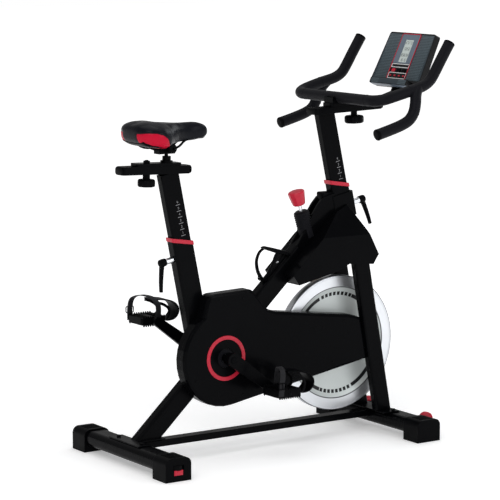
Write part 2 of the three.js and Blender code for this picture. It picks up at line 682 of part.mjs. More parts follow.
function barCurve() {
  const half = [[453.4, 0, 1065.5], [453.4, 90, 1065.5], [453.4, 160, 1065.5], [457, 192, 1066],
    [474, 217, 1070], [505, 228, 1079], [560, 232, 1093], [612, 230, 1106], [640, 229, 1121],
    [658, 229, 1143], [684, 229, 1184], [718, 229, 1236]];
  const left = half.slice(1).reverse().map(([x, y, z]) => V(x, y, z));
  const right = half.map(([x, y, z]) => V(x, -y, z));
  return smooth([...left, ...right]);
}

const dropCurve = (side) =>
  smooth([[592, 232, 1102], [578, 243, 1082], [568, 254, 1058], [560, 257, 1032], [544, 257, 1010],
    [518, 257, 996], [476, 257, 983], [420, 257, 968.5]].map(([x, y, z]) => V(x, side * y, z)));

function buildHandlebar() {
  const { length, wide, high, z } = BAR_RAIL;
  const rail = prism(roundedRectangle(length, wide, 12), -high / 2, high / 2, 4);
  const slot = box(96, 12, 60, BAR_KNOB_X, 0, 0);
  const top = z - high / 2 + 2;
  const post = strut([headX(650), 650], [headX(top), top], 60.5, POST_WIDE, {
    corner: 6,
    wall: 2,
  });
  const plug = box(50, 20, 8, headX(top), 0, top);
  add("handlebar_post", join(cut(onBarRail(rail), onBarRail(slot)), post, plug), blackPaint);

  const bar = sweep(barCurve(), BAR_RADIUS, 58, 10);
  const drops = SIDES.map(([, side]) => sweep(dropCurve(side), BAR_RADIUS, 14, 10));
  add("handlebar", join(bar, ...drops), blackRubber);

  const low = high / 2 + GAP;
  const plate = prism(roundedRectangle(201, 50, 8), low, low + 11).translate(30.5, 0, 0);
  const cradle = box(56, 46, 20, -35, 0, low + 19);
  const through = rod(V(BAR_KNOB_X, 0, 0), V(BAR_KNOB_X, 0, 60), 5.6, 16);
  const crossbar = acrossRod([453.4, 1065.5], -60, 60, BAR_RADIUS + GAP);
  const carriage = cut(onBarRail(join(plate, cradle)), onBarRail(through), crossbar);
  add("handlebar_carriage", carriage, blackPaint);

  const knob = turned([[0, -49], [26, -49], [30.5, -45], [30.5, -28], [26, -23.5], [10, -23],
    [10, -10.8], [5, -10.6], [5, 17], [0, 17]], 24).translate(BAR_KNOB_X, 0, 0);
  add("handlebar_knob", onBarRail(knob), blackPlastic);
}

// ---- console ----
const CONSOLE = { x: 683, z: 1108, low: -14, high: 164, bottom: 128, top: 116, thick: 20 };
const SCREEN = { wide: 40, low: 62, high: 140 };
const BUTTONS = [["start", -26], ["mode", 0], ["reset", 26]];
const BUTTON = { wide: 17, high: 11, y: 34, travel: 1.5 };

// Face coordinates: x to the rider's right, y up the face, z out of it.
function onFace(geometry) {
  const up = V(Math.sin(CONSOLE_LEAN), 0, Math.cos(CONSOLE_LEAN));
  const out = V(-Math.cos(CONSOLE_LEAN), 0, Math.sin(CONSOLE_LEAN));
  const basis = new THREE.Matrix4().makeBasis(V(0, -1, 0), up, out);
  return geometry.applyMatrix4(basis).translate(CONSOLE.x, 0, CONSOLE.z);
}

function buildConsole() {
  const { low, high, bottom, top, thick } = CONSOLE;
  const face = new THREE.Shape();
  const r = 7;
  face.moveTo(-bottom + r, low);
  face.lineTo(bottom - r, low);
  face.quadraticCurveTo(bottom, low, bottom - 1, low + r);
  face.lineTo(top + 1, high - r);
  face.quadraticCurveTo(top, high, top - r, high);
  face.lineTo(-top + r, high);
  face.quadraticCurveTo(-top, high, -top - 1, high - r);
  face.lineTo(-bottom + 1, low + r);
  face.quadraticCurveTo(-bottom, low, -bottom + r, low);
  const body = prism(face, -thick, 0);
  const ledge = prism(roundedRectangle(190, 20, 5), -8, 24).translate(0, -12, 0);
  const { wide, low: from, high: to } = SCREEN;
  const middle = (from + to) / 2;
  const screenPocket = box(wide, to - from, 6, 0, middle, 0);
  const pockets = BUTTONS.map(([, x]) =>
    box(BUTTON.wide + 0.8, BUTTON.high + 0.8, 11, x, BUTTON.y, 0));
  const case_ = cut(join(body, ledge), screenPocket, ...pockets);
  add("console_case", onFace(case_), consoleGrey);
  const glass = box(wide - 2 * GAP, to - from - 2 * GAP, 3, 0, middle, -1.1);
  add("console_screen", onFace(glass), screenGlass);
  for (const [name, x] of BUTTONS) {
    const cap = prism(roundedRectangle(BUTTON.wide, BUTTON.high, 3), -3, 2.2);
    const material = name === "start" ? redPlastic : blackPlastic;
    add("button_" + name, onFace(cap.translate(x, BUTTON.y, 0)), material);
  }
  const foot = strut([604, 1043], [696, 1070], 12, 60, { corner: 4 });
  const back = onFace(box(60, 86, 10, 0, 3, -thick - GAP - 5));
  const onCarriage = onBarRail(box(400, 90, 40, 0, 0, BAR_RAIL.high / 2 + 11 + 2 * GAP - 20));
  add("console_neck", cut(join(foot, back), onCarriage), blackPaint);
}

// ---- clamping levers ----
// A threaded bush out of the tube's rear or front wall, and a handle hanging from it.
function lever(centre, lean, z, side, { bush, drop, reach }) {
  const out = V(side, 0, side * lean).normalize();
  const start = V(centre(z), 0, z);
  const at = (distance) => start.clone().addScaledVector(out, distance);
  const face = 36;
  const stud = rod(at(33), at(face + bush + 5), 5, 12);
  const collar = rod(at(face), at(face + bush), 10, 14);
  const head = rod(at(face + bush - 0.5), at(face + bush + 24), 12, 14);
  const top = at(face + bush + 12);
  const tip = [top.x + side * reach, top.z - drop];
  const arm = strut([top.x, top.z], tip, 9, 14, { corner: 3 });
  return join(stud, collar, head, arm);
}

// ---- bottle cage ----
// A strip screwed to the beam's upper side. A hoop runs round the bottle from the strip's top
// and two arms come back from the hoop's sides to the strip's foot, where a lip holds the bottle.
// Points are given as out of the beam, across, and down from the hoop's root.
function buildBottleCage() {
  const wire = (points, radius) => {
    const path = points.map(([out, y, down]) => V(-out, y, -down));
    return sweep(smooth(path), radius, 7, 6);
  };
  const hoop = [[3.2, 0, 0], [9, 26, 3], [28, 41, 13], [54, 34, 28], [70, 12, 37], [71, 0, 37.5]];
  const arm = [[30, 41.5, 15], [29, 41, 38], [22, 35, 64], [10, 22, 84], [3.2, 7, 96]];
  const mirrored = (points) => points.map(([out, y, down]) => [out, -y, down]);
  const wires = [hoop, arm].flatMap((path) => [wire(path, 3), wire(mirrored(path), 3)]);
  const strip = box(3, 18, 122, -1.5, 0, -56);
  const tab = box(9, 16, 9, -4.5, 0, 0.6);
  const lip = box(20, 18, 3, -10, 0, -115.5).rotateY(rad(-8)).translate(-16.4, 0, 0);
  const cage = join(strip, tab, lip, ...wires).translate(-BEAM_DEEP / 2 - 2 * GAP, 0, 60);
  const [x, z] = beamPoint(CAGE_PLACE);
  add("bottle_cage", cage.rotateY(rad(90) - BEAM_ANGLE).translate(x, 0, z), blackPlastic);
}

buildFeet();
buildFrame();
buildDrive();
buildGuard();
buildShroud();
buildCranks();
buildBrake();
buildSeat();
buildHandlebar();
buildConsole();
const seatReach = { bush: 26, drop: 88, reach: 4 };
add("seat_lever", lever(seatX, SEAT_LEAN, 612, -1, seatReach), blackPlastic);
const headReach = { bush: 35, drop: 80, reach: 34 };
add("head_lever", lever(headX, HEAD_LEAN, 722, 1, headReach), blackPlastic);
buildBottleCage();

export default bike;
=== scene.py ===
"""An upright exercise bike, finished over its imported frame."""

import math

import bmesh
import bpy
from bpy.props import FloatProperty, FloatVectorProperty, PointerProperty
from mathutils import Matrix, Vector


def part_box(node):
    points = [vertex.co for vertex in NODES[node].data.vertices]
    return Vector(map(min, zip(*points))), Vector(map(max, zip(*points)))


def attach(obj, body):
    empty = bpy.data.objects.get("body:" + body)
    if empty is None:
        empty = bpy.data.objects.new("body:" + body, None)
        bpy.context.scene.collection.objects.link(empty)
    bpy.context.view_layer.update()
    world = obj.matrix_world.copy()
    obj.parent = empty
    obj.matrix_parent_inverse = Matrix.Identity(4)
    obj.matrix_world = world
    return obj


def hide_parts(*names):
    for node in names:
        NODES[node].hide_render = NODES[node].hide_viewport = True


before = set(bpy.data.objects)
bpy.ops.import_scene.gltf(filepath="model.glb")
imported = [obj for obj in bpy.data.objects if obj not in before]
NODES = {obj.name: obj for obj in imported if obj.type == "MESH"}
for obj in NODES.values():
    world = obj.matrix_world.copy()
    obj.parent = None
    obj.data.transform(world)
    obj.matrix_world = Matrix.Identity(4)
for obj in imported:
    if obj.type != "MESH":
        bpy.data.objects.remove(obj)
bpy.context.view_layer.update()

bl_info = {
    "name": "Exercise bike",
    "version": (1, 0, 0),
    "blender": (4, 5, 0),
    "location": "3D View > Sidebar > Bike",
    "description": "Finishes an exercise bike over its packed frame",
    "category": "Object",
}

CRANK_BEHIND = 214.5  # the crank axle is this far behind the origin
WHEEL = (451.2, 292.4)
SIDES = (("left", 1), ("right", -1))


def at(x, y, z):
    """A point given in millimetres from the crank axle's foot."""
    return Vector(((x - CRANK_BEHIND) / 1000, y / 1000, z / 1000))


def rad(degrees):
    return math.radians(degrees)


# ---- mesh shapes ----


def smooth_path(points, steps=8):
    """A Catmull-Rom curve through the points."""
    pts = [Vector(p) for p in points]
    pts = [2 * pts[0] - pts[1], *pts, 2 * pts[-1] - pts[-2]]
    path = []
    for a, b, c, d in zip(pts, pts[1:], pts[2:], pts[3:]):
        for i in range(steps):
            t = i / steps
            path.append(0.5 * (2 * b + (c - a) * t + (2 * a - 5 * b + 4 * c - d) * t * t
                               + (3 * b - a - 3 * c + d) * t ** 3))
    return [*path, pts[-2]]


def circle(radius, sides=20):
    turn = 2 * math.pi / sides
    return [(radius * math.cos(i * turn), radius * math.sin(i * turn)) for i in range(sides)]


def band(wide, thick, corner=0.0006):
    """A flat section with rounded corners: wide along u, thick along v."""
    points = []
    for cx, cy, start in ((1, 1, 0), (-1, 1, 90), (-1, -1, 180), (1, -1, 270)):
        for i in range(4):
            a = rad(start + 30 * i)
            points.append((cx * (wide / 2 - corner) + corner * math.cos(a),
                           cy * (thick / 2 - corner) + corner * math.sin(a)))
    return points


def sweep(bm, path, section, closed=False, up=None, scales=None):
    """A section carried along a path. up fixes the direction of v where it is given."""
    count = len(path)
    rings = []
    normal = None
    for i, point in enumerate(path):
        before = path[i - 1] if i or closed else path[0]
        after = path[(i + 1) % count] if i + 1 < count or closed else path[-1]
        along = (after - before).normalized()
        if up is not None:
            normal = Vector(up)
        elif normal is None:
            normal = along.orthogonal()
        normal = (normal - along * normal.dot(along)).normalized()
        across = along.cross(normal)
        size = scales[i] if scales else 1
        rings.append([bm.verts.new(point + (across * u + normal * v) * size) for u, v in section])
    pairs = list(zip(rings, rings[1:]))
    if closed:
        pairs.append((rings[-1], rings[0]))
    n = len(section)
    for one, two in pairs:
        for i in range(n):
            bm.faces.new((one[i], one[(i + 1) % n], two[(i + 1) % n], two[i]))
    if not closed:
        bm.faces.new(reversed(rings[0]))
        bm.faces.new(rings[-1])
    return rings


def lathe(bm, profile, base, axis, sides=48):
    """A profile of (radius, height) in metres turned about an axis through base."""
    axis = Vector(axis).normalized()
    side = axis.orthogonal().normalized()
    other = axis.cross(side)
    rings = []
    for radius, height in profile:
        centre = base + axis * height
        if radius < 1e-7:
            rings.append([bm.verts.new(centre)])
            continue
        rings.append([bm.verts.new(centre + (side * math.cos(a) + other * math.sin(a)) * radius)
                      for a in (2 * math.pi * i / sides for i in range(sides))])
    for one, two in zip(rings, rings[1:]):
        for i in range(sides):
            j = (i + 1) % sides
            corners = [one[i % len(one)], one[j % len(one)], two[j % len(two)], two[i % len(two)]]
            unique = list(dict.fromkeys(corners))
            if len(unique) > 2:
                bm.faces.new(unique)
    return rings


def block(bm, centre, size, bevel=0.0, basis=None, segments=2):
    """A box with rounded edges. basis turns it about its centre."""
    made = bmesh.ops.create_cube(bm, size=1.0)
    verts = made["verts"]
    bmesh.ops.scale(bm, vec=Vector(size), verts=verts)
    if bevel:
        edges = list({e for v in verts for e in v.link_edges})
        made = bmesh.ops.bevel(bm, geom=verts + edges, offset=bevel, segments=segments,
                               profile=0.5, affect="EDGES")
        verts = made["verts"]
    turn = basis.to_4x4() if basis else Matrix.Identity(4)
    bmesh.ops.transform(bm, matrix=Matrix.Translation(centre) @ turn, verts=verts)
    return verts


def slab(bm, outline, place, low, high, bevel=0.0):
    """Carries a flat outline in (u, v) from low to high along w, through place(u, v, w)."""
    bottom = [bm.verts.new(Vector((u, v, low))) for u, v in outline]
    face = bm.faces.new(bottom)
    top = bmesh.ops.extrude_face_region(bm, geom=[face])["geom"]
    raised = [g for g in top if isinstance(g, bmesh.types.BMVert)]
    bmesh.ops.translate(bm, vec=(0, 0, high - low), verts=raised)
    verts = bottom + raised
    if bevel:
        caps = [g for g in top if isinstance(g, bmesh.types.BMFace)]
        edges = [e for f in caps for e in f.edges]
        made = bmesh.ops.bevel(bm, geom=edges, offset=bevel, segments=2, profile=0.5,
                               affect="EDGES")
        verts = list({*[v for v in verts if v.is_valid], *made["verts"]})
    for v in verts:
        v.co = place(*v.co)


def rounded(half_u, half_v, corner, steps=5, centre=(0, 0)):
    points = []
    for cu, cv, start in ((1, 1, 0), (-1, 1, 90), (-1, -1, 180), (1, -1, 270)):
        for i in range(steps + 1):
            a = rad(start + 90 * i / steps)
            points.append((centre[0] + cu * (half_u - corner) + corner * math.cos(a),
                           centre[1] + cv * (half_v - corner) + corner * math.sin(a)))
    return points


def piece(name, bm, materials, body, crease=32, replaces=()):
    """Finishes a mesh as a named piece that rides on a body."""
    bmesh.ops.recalc_face_normals(bm, faces=bm.faces)
    mesh = bpy.data.meshes.new(name)
    bm.to_mesh(mesh)
    bm.free()
    mesh.shade_smooth()
    mesh.set_sharp_from_angle(angle=rad(crease))
    for material in materials if isinstance(materials, (list, tuple)) else [materials]:
        mesh.materials.append(material)
    obj = bpy.data.objects.new(name, mesh)
    bpy.context.scene.collection.objects.link(obj)
    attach(obj, body)
    if replaces:
        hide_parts(*replaces)
    return obj


# ---- materials ----


class Graph:
    """A material's nodes, with short ways to add and join them."""

    def __init__(self, name):
        self.material = bpy.data.materials.new(name)
        self.material.use_nodes = True
        self.tree = self.material.node_tree
        self.shader = self.tree.nodes["Principled BSDF"]
        self.place = self.add("ShaderNodeTexCoord").outputs["Object"]

    def add(self, kind, inputs=None, **settings):
        node = self.tree.nodes.new(kind)
        for key, value in settings.items():
            setattr(node, key, value)
        for key, value in (inputs or {}).items():
            self.set(node.inputs[key], value)
        return node

    def set(self, socket, value):
        if isinstance(value, bpy.types.NodeSocket):
            self.tree.links.new(value, socket)
        else:
            socket.default_value = value

    def math(self, operation, *values, clamp=False):
        inputs = dict(enumerate(values))
        return self.add("ShaderNodeMath", inputs, operation=operation, use_clamp=clamp).outputs[0]

    def between(self, value, low, high, soft=0.0002):
        """1 where the value lies between low and high, with soft edges."""
        rise = self.range(value, low - soft, low + soft)
        fall = self.range(value, high - soft, high + soft)
        return self.math("SUBTRACT", rise, fall, clamp=True)

    def range(self, value, low, high, to_low=0.0, to_high=1.0):
        inputs = {"Value": value, "From Min": low, "From Max": high,
                  "To Min": to_low, "To Max": to_high}
        return self.add("ShaderNodeMapRange", inputs, clamp=True).outputs["Result"]

    def noise(self, scale, detail=3.0, rough=0.5, place=None):
        inputs = {"Vector": place or self.place, "Scale": scale, "Detail": detail,
                  "Roughness": rough}
        return self.add("ShaderNodeTexNoise", inputs).outputs["Fac"]

    def mix(self, mask, one, two):
        node = self.add("ShaderNodeMix", data_type="RGBA")
        self.set(node.inputs[0], mask)
        self.set(node.inputs[6], (*one, 1) if isinstance(one, tuple) else one)
        self.set(node.inputs[7], (*two, 1) if isinstance(two, tuple) else two)
        return node.outputs[2]

    def bump(self, height, distance, strength=1.0, normal=None):
        inputs = {"Height": height, "Distance": distance, "Strength": strength}
        if normal:
            inputs["Normal"] = normal
        return self.add("ShaderNodeBump", inputs).outputs["Normal"]

    def rounded_normal(self, radius):
        return self.add("ShaderNodeBevel", {"Radius": radius}, samples=6).outputs["Normal"]


def shade(colour, factor):
    return tuple(min(1.0, c * factor) for c in colour)


def finish(name, colour, rough, metal=0.0, coat=0.0, mottle=0.1, grain=900.0, depth=0.00004,
           waves=0.0, spread=0.07, round_edges=0.0, sheen=0.0, flecks=0.0, shine=0.5):
    """A painted, moulded or metal surface: uneven colour, worn gloss, and a fine grain."""
    g = Graph(name)
    colour = tuple(colour)
    base = g.mix(g.noise(7, 4), shade(colour, 1 - mottle), shade(colour, 1 + mottle))
    if flecks:
        specks = g.range(g.noise(1400, 1), 0.62, 0.7)
        base = g.mix(g.math("MULTIPLY", specks, flecks), base, shade(colour, 3.2))
    scuffs = g.range(g.noise(60, 6, 0.7), 0.56, 0.74)
    uneven = g.range(g.noise(22, 5), 0.3, 0.7, max(0.02, rough - spread), rough + spread)
    g.set(g.shader.inputs["Roughness"], g.math("ADD", uneven, g.math("MULTIPLY", scuffs, 0.05)))
    g.set(g.shader.inputs["Base Color"], base)
    normal = g.rounded_normal(round_edges) if round_edges else None
    if waves:
        normal = g.bump(g.noise(24, 2), waves, 1.0, normal)
    normal = g.bump(g.noise(grain, 3), depth, 0.6, normal)
    g.set(g.shader.inputs["Normal"], normal)
    g.shader.inputs["Metallic"].default_value = metal
    g.shader.inputs["Coat Weight"].default_value = coat
    g.shader.inputs["Coat Roughness"].default_value = 0.08
    g.shader.inputs["Specular IOR Level"].default_value = shine
    if sheen:
        g.shader.inputs["Sheen Weight"].default_value = sheen
        g.shader.inputs["Sheen Roughness"].default_value = 0.5
    g.base, g.normal = base, normal
    return g


MATERIALS = {}


def material(name):
    return MATERIALS[name].material


def wheel_radius(g, centre=WHEEL):
    """Distance from the flywheel's axis and angle round it."""
    split = g.add("ShaderNodeSeparateXYZ", {"Vector": g.place})
    middle = at(centre[0], 0, centre[1])
    dx = g.math("SUBTRACT", split.outputs["X"], middle.x)
    dz = g.math("SUBTRACT", split.outputs["Z"], middle.z)
    squares = g.math("ADD", g.math("MULTIPLY", dx, dx), g.math("MULTIPLY", dz, dz))
    return g.math("SQRT", squares), g.math("ARCTAN2", dz, dx)


def make_flywheel_metal(colour):
    g = finish("flywheel_metal", colour, 0.34, metal=0.9, mottle=0.02, grain=1500, depth=0.000006,
               spread=0.015)
    radius, angle = wheel_radius(g)
    turned = g.math("SINE", g.math("MULTIPLY", radius, 5200))
    # Thin bands at the rim's rounded edge and at the step. The edge band is bumped in as a groove,
    # and both are darkened near black below as painted shade.
    groove_and_shade = g.between(radius, 0.2118, 0.2142)
    step = g.between(radius, 0.1755, 0.1785, 0.0006)
    painted = g.between(radius, 0.04, 0.1765, 0.0006)
    paint = g.mix(g.noise(9, 3), (0.58, 0.62, 0.61), (0.66, 0.7, 0.69))
    base = g.mix(painted, g.base, paint)
    # Runs of short dashes alternate with long arcs round the web's outer edge.
    turns = g.math("DIVIDE", g.math("ADD", angle, math.pi), 2 * math.pi)
    run = g.math("FRACT", g.math("MULTIPLY_ADD", turns, 4, 0.5))
    dash = g.math("FRACT", g.math("MULTIPLY", turns, 64))
    off = g.math("ABSOLUTE", g.math("SUBTRACT", run, 0.5))
    short = g.math("MULTIPLY", g.math("LESS_THAN", off, 0.25), g.math("LESS_THAN", dash, 0.66))
    marks = g.math("ADD", short, g.math("GREATER_THAN", off, 0.26), clamp=True)
    ring = g.between(radius, 0.1505, 0.162, 0.0004)
    dark = g.math("MULTIPLY", ring, marks)
    base = g.mix(dark, base, (0.004, 0.004, 0.005))
    # Painted shade: the rim's edge band and the step are darkened near black.
    base = g.mix(g.math("MULTIPLY", g.math("ADD", groove_and_shade, step, clamp=True), 0.92), base,
                 (0.05, 0.05, 0.06))
    g.set(g.shader.inputs["Base Color"], base)
    metal = g.math("SUBTRACT", 0.95, g.math("MULTIPLY", painted, 0.75))
    g.set(g.shader.inputs["Metallic"], metal)
    height = g.math("SUBTRACT", g.math("MULTIPLY", turned, 0.12), groove_and_shade)
    g.set(g.shader.inputs["Normal"], g.bump(height, 0.00006, 0.7, g.normal))
    return g


def make_console_face(colour):
    """A printed face: a fine grid of dots inside a plain border."""
    g = finish("console_face", colour, 0.42, mottle=0.06, grain=700, depth=0.00002)
    split = g.add("ShaderNodeSeparateXYZ", {"Vector": g.place})
    across = g.math("FRACT", g.math("MULTIPLY", split.outputs["Y"], 200))
    upward = g.math("FRACT", g.math("MULTIPLY", split.outputs["Z"], 210))
    near_u = g.math("ABSOLUTE", g.math("SUBTRACT", across, 0.5))
    near_v = g.math("ABSOLUTE", g.math("SUBTRACT", upward, 0.5))
    far = g.math("SQRT", g.math("ADD", g.math("MULTIPLY", near_u, near_u),
                                g.math("MULTIPLY", near_v, near_v)))
    dots = g.range(far, 0.2, 0.34, 1.0, 0.0)
    wide = g.math("ABSOLUTE", split.outputs["Y"])
    inside = g.math("MULTIPLY", g.math("LESS_THAN", wide, 0.112),
                    g.math("GREATER_THAN", wide, 0.05))
    mask = g.math("MULTIPLY", dots, inside)
    base = g.mix(g.math("MULTIPLY", mask, 0.8), g.base, (0.13, 0.18, 0.2))
    g.set(g.shader.inputs["Base Color"], base)
    g.set(g.shader.inputs["Normal"], g.bump(mask, 0.00012, 0.6, g.normal))
    return g


def make_vinyl(colour, trim):
    """Stretched vinyl in two colours. The trim attribute says where the second one is."""
    g = Graph("saddle_vinyl")
    pores = g.add("ShaderNodeTexVoronoi", {"Vector": g.place, "Scale": 620.0}).outputs["Distance"]
    creases = g.noise(46, 5, 0.6)
    tone = g.noise(9, 4)
    dark = g.mix(tone, shade(colour, 0.8), shade(colour, 1.3))
    red = g.mix(tone, shade(trim, 0.86), shade(trim, 1.08))
    mask = g.add("ShaderNodeAttribute", attribute_name="trim").outputs["Fac"]
    seam = g.add("ShaderNodeAttribute", attribute_name="seam").outputs["Fac"]
    base = g.mix(g.range(mask, 0.42, 0.58), dark, red)
    base = g.mix(g.math("MULTIPLY", seam, 0.6), base, (0.01, 0.01, 0.012))
    g.set(g.shader.inputs["Base Color"], base)
    g.set(g.shader.inputs["Roughness"], g.range(creases, 0.3, 0.7, 0.22, 0.36))
    normal = g.bump(pores, 0.00012, 0.45)
    normal = g.bump(creases, 0.0004, 0.25, normal)
    g.set(g.shader.inputs["Normal"], normal)
    g.shader.inputs["Specular IOR Level"].default_value = 0.07
    g.base, g.normal = base, normal
    return g


def make_belt(colour):
    g = finish("belt_rubber", colour, 0.62, mottle=0.15, grain=700, depth=0.0001)
    radius, angle = wheel_radius(g, (0, 299))
    ribs = g.math("SINE", g.math("MULTIPLY", angle, 420))
    g.set(g.shader.inputs["Normal"], g.bump(ribs, 0.0004, 0.5, g.normal))
    return g


# ---- settings ----


class BikeLook(bpy.types.PropertyGroup):
    paint: FloatVectorProperty(name="Paint", description="Colour of the frame's paint",
                               subtype="COLOR", size=3, default=(0.0014, 0.0015, 0.002), min=0,
                               max=1)
    plastic: FloatVectorProperty(name="Plastic", description="Colour of the moulded covers",
                                 subtype="COLOR", size=3, default=(0.0016, 0.0017, 0.0022),
                                 min=0, max=1)
    accent: FloatVectorProperty(name="Accent", description="Colour of the knobs, collars and trim",
                                subtype="COLOR", size=3, default=(0.48, 0.006, 0.028), min=0, max=1)
    metal: FloatVectorProperty(name="Metal", description="Colour of the bare metal",
                               subtype="COLOR", size=3, default=(0.8, 0.82, 0.85), min=0, max=1)
    face: FloatVectorProperty(name="Console face", description="Colour of the console's face",
                              subtype="COLOR", size=3, default=(0.016, 0.028, 0.038), min=0, max=1)
    vinyl: FloatVectorProperty(name="Vinyl", description="Colour of the saddle's top",
                               subtype="COLOR", size=3, default=(0.005, 0.0055, 0.008), min=0,
                               max=1)
    gloss: FloatProperty(name="Paint roughness", description="Roughness of the frame's paint",
                         subtype="FACTOR", default=0.26, min=0.05, max=0.9)


class BikeSizes(bpy.types.PropertyGroup):
    puff: FloatProperty(name="Saddle puff", description="Pressure that fills the saddle",
                        default=4.0, min=0.0, max=12.0)
    swell: FloatProperty(name="Saddle swell", description="How far the saddle's cover may move",
                         subtype="DISTANCE", default=0.005, min=0.0, max=0.02)
    ring: FloatProperty(name="Guard ring", description="Mean radius of the ring on the belt guard",
                        subtype="DISTANCE", default=0.0632, min=0.04, max=0.1)
    ring_width: FloatProperty(name="Guard ring width", description="Width of the guard's ring",
                              subtype="DISTANCE", default=0.012, min=0.004, max=0.03)
    key_light: FloatProperty(name="Key light", description="Power of the largest lamp",
                             subtype="POWER", unit="POWER", default=70.0, min=0, max=2000)


# ---- stage ----

EYE = Vector((-4.0114, -5.8523, 1.6330))


class BIKE_OT_stage(bpy.types.Operator):
    """Adds the camera, the pale floor and the soft lights"""

    bl_idname = "bike.stage"
    bl_label = "Stage"

    def execute(self, context):
        scene = context.scene
        camera = bpy.data.cameras.new("view")
        camera.lens = 167.6
        camera.sensor_width = 36
        holder = bpy.data.objects.new("view", camera)
        yaw, pitch = rad(56.128), rad(-8.249)
        look = Vector((math.cos(pitch) * math.cos(yaw), math.cos(pitch) * math.sin(yaw),
                       math.sin(pitch)))
        holder.location = EYE
        holder.rotation_euler = look.to_track_quat("-Z", "Y").to_euler()
        scene.collection.objects.link(holder)
        scene.camera = holder

        bm = bmesh.new()
        bmesh.ops.create_grid(bm, x_segments=2, y_segments=2, size=30)
        mesh = bpy.data.meshes.new("floor")
        bm.to_mesh(mesh)
        bm.free()
        floor = bpy.data.objects.new("floor", mesh)
        floor.location.z = -0.0005
        g = Graph("floor_white")
        tone = g.mix(g.noise(0.6, 2), (0.93, 0.93, 0.935), (0.96, 0.96, 0.965))
        g.set(g.shader.inputs["Base Color"], tone)
        g.shader.inputs["Roughness"].default_value = 0.6
        g.shader.inputs["Specular IOR Level"].default_value = 0.2
        g.shader.inputs["Emission Color"].default_value = (1, 1, 1, 1)
        away = g.add("ShaderNodeVectorMath", {0: g.place}, operation="LENGTH").outputs["Value"]
        g.set(g.shader.inputs["Emission Strength"], g.range(away, 1.0, 4.5, 0.3, 0.75))
        mesh.materials.append(g.material)
        scene.collection.objects.link(floor)

        power = scene.bike_sizes.key_light
        lamps = (
            ("key", (-3.2, -2.6, 3.4), 2.6, power, (1.0, 0.995, 0.985)),
            ("side", (1.6, -4.2, 2.2), 2.2, power * 0.62, (0.95, 0.975, 1.0)),
            ("front", (4.0, 0.6, 2.4), 2.6, power * 0.55, (0.93, 0.965, 1.0)),
            ("top", (0.0, 0.3, 4.2), 3.4, power * 0.7, (1.0, 1.0, 1.0)),
        )
        for name, place, size, watts, colour in lamps:
            lamp = bpy.data.lights.new(name, "AREA")
            lamp.size = size
            lamp.energy = watts
            lamp.color = colour
            holder = bpy.data.objects.new(name, lamp)
            holder.location = place
            aim = Vector((0, 0, 0.55)) - Vector(place)
            holder.rotation_euler = aim.to_track_quat("-Z", "Y").to_euler()
            scene.collection.objects.link(holder)

        world = bpy.data.worlds.new("sky")
        world.use_nodes = True
        background = world.node_tree.nodes["Background"]
        background.inputs["Color"].default_value = (1.0, 1.0, 1.0, 1)
        seen = world.node_tree.nodes.new("ShaderNodeLightPath").outputs["Is Camera Ray"]
        strength = world.node_tree.nodes.new("ShaderNodeMath")
        strength.operation = "MULTIPLY_ADD"
        strength.inputs[1].default_value = 0.62
        strength.inputs[2].default_value = 0.38
        world.node_tree.links.new(seen, strength.inputs[0])
        world.node_tree.links.new(strength.outputs[0], background.inputs["Strength"])
        scene.world = world
        scene.view_settings.view_transform = "Standard"
        return {"FINISHED"}


# ---- finishes of the CAD nodes ----

FINISHES = {
    "paint": """rear_stabiliser front_stabiliser main_beam seat_tube head_tube fork_leg_left
        fork_leg_right base_bar front_foot_plate seat_post saddle_carriage handlebar_post
        handlebar_carriage crank_arm_left crank_arm_right console_neck
        crank_shell crank_axle saddle_rails""",
    "plastic": """foot_rear_left foot_rear_right foot_front_left foot_front_right leveller_left
        leveller_right saddle_clamp saddle_base pedal_left pedal_right button_mode button_reset
        seat_lever head_lever saddle_knob handlebar_knob toe_cage_left toe_cage_right
        bottle_cage""",
    "cover": "belt_guard_outer belt_guard_inner shroud_left shroud_right",
    "rubber": "brake_housing handlebar",
    "accent": """seat_collar head_collar button_start brake_knob transport_wheel_left
        transport_wheel_right""",
    "steel": "flywheel_axle brake_rod",
    "alloy": "drive_pulley driven_pulley",
    "belt": "drive_belt",
    "felt": "brake_pad",
    "flywheel": "flywheel",
    "vinyl": "saddle_cushion",
    "case": "console_case",
    "screen": "console_screen",
}


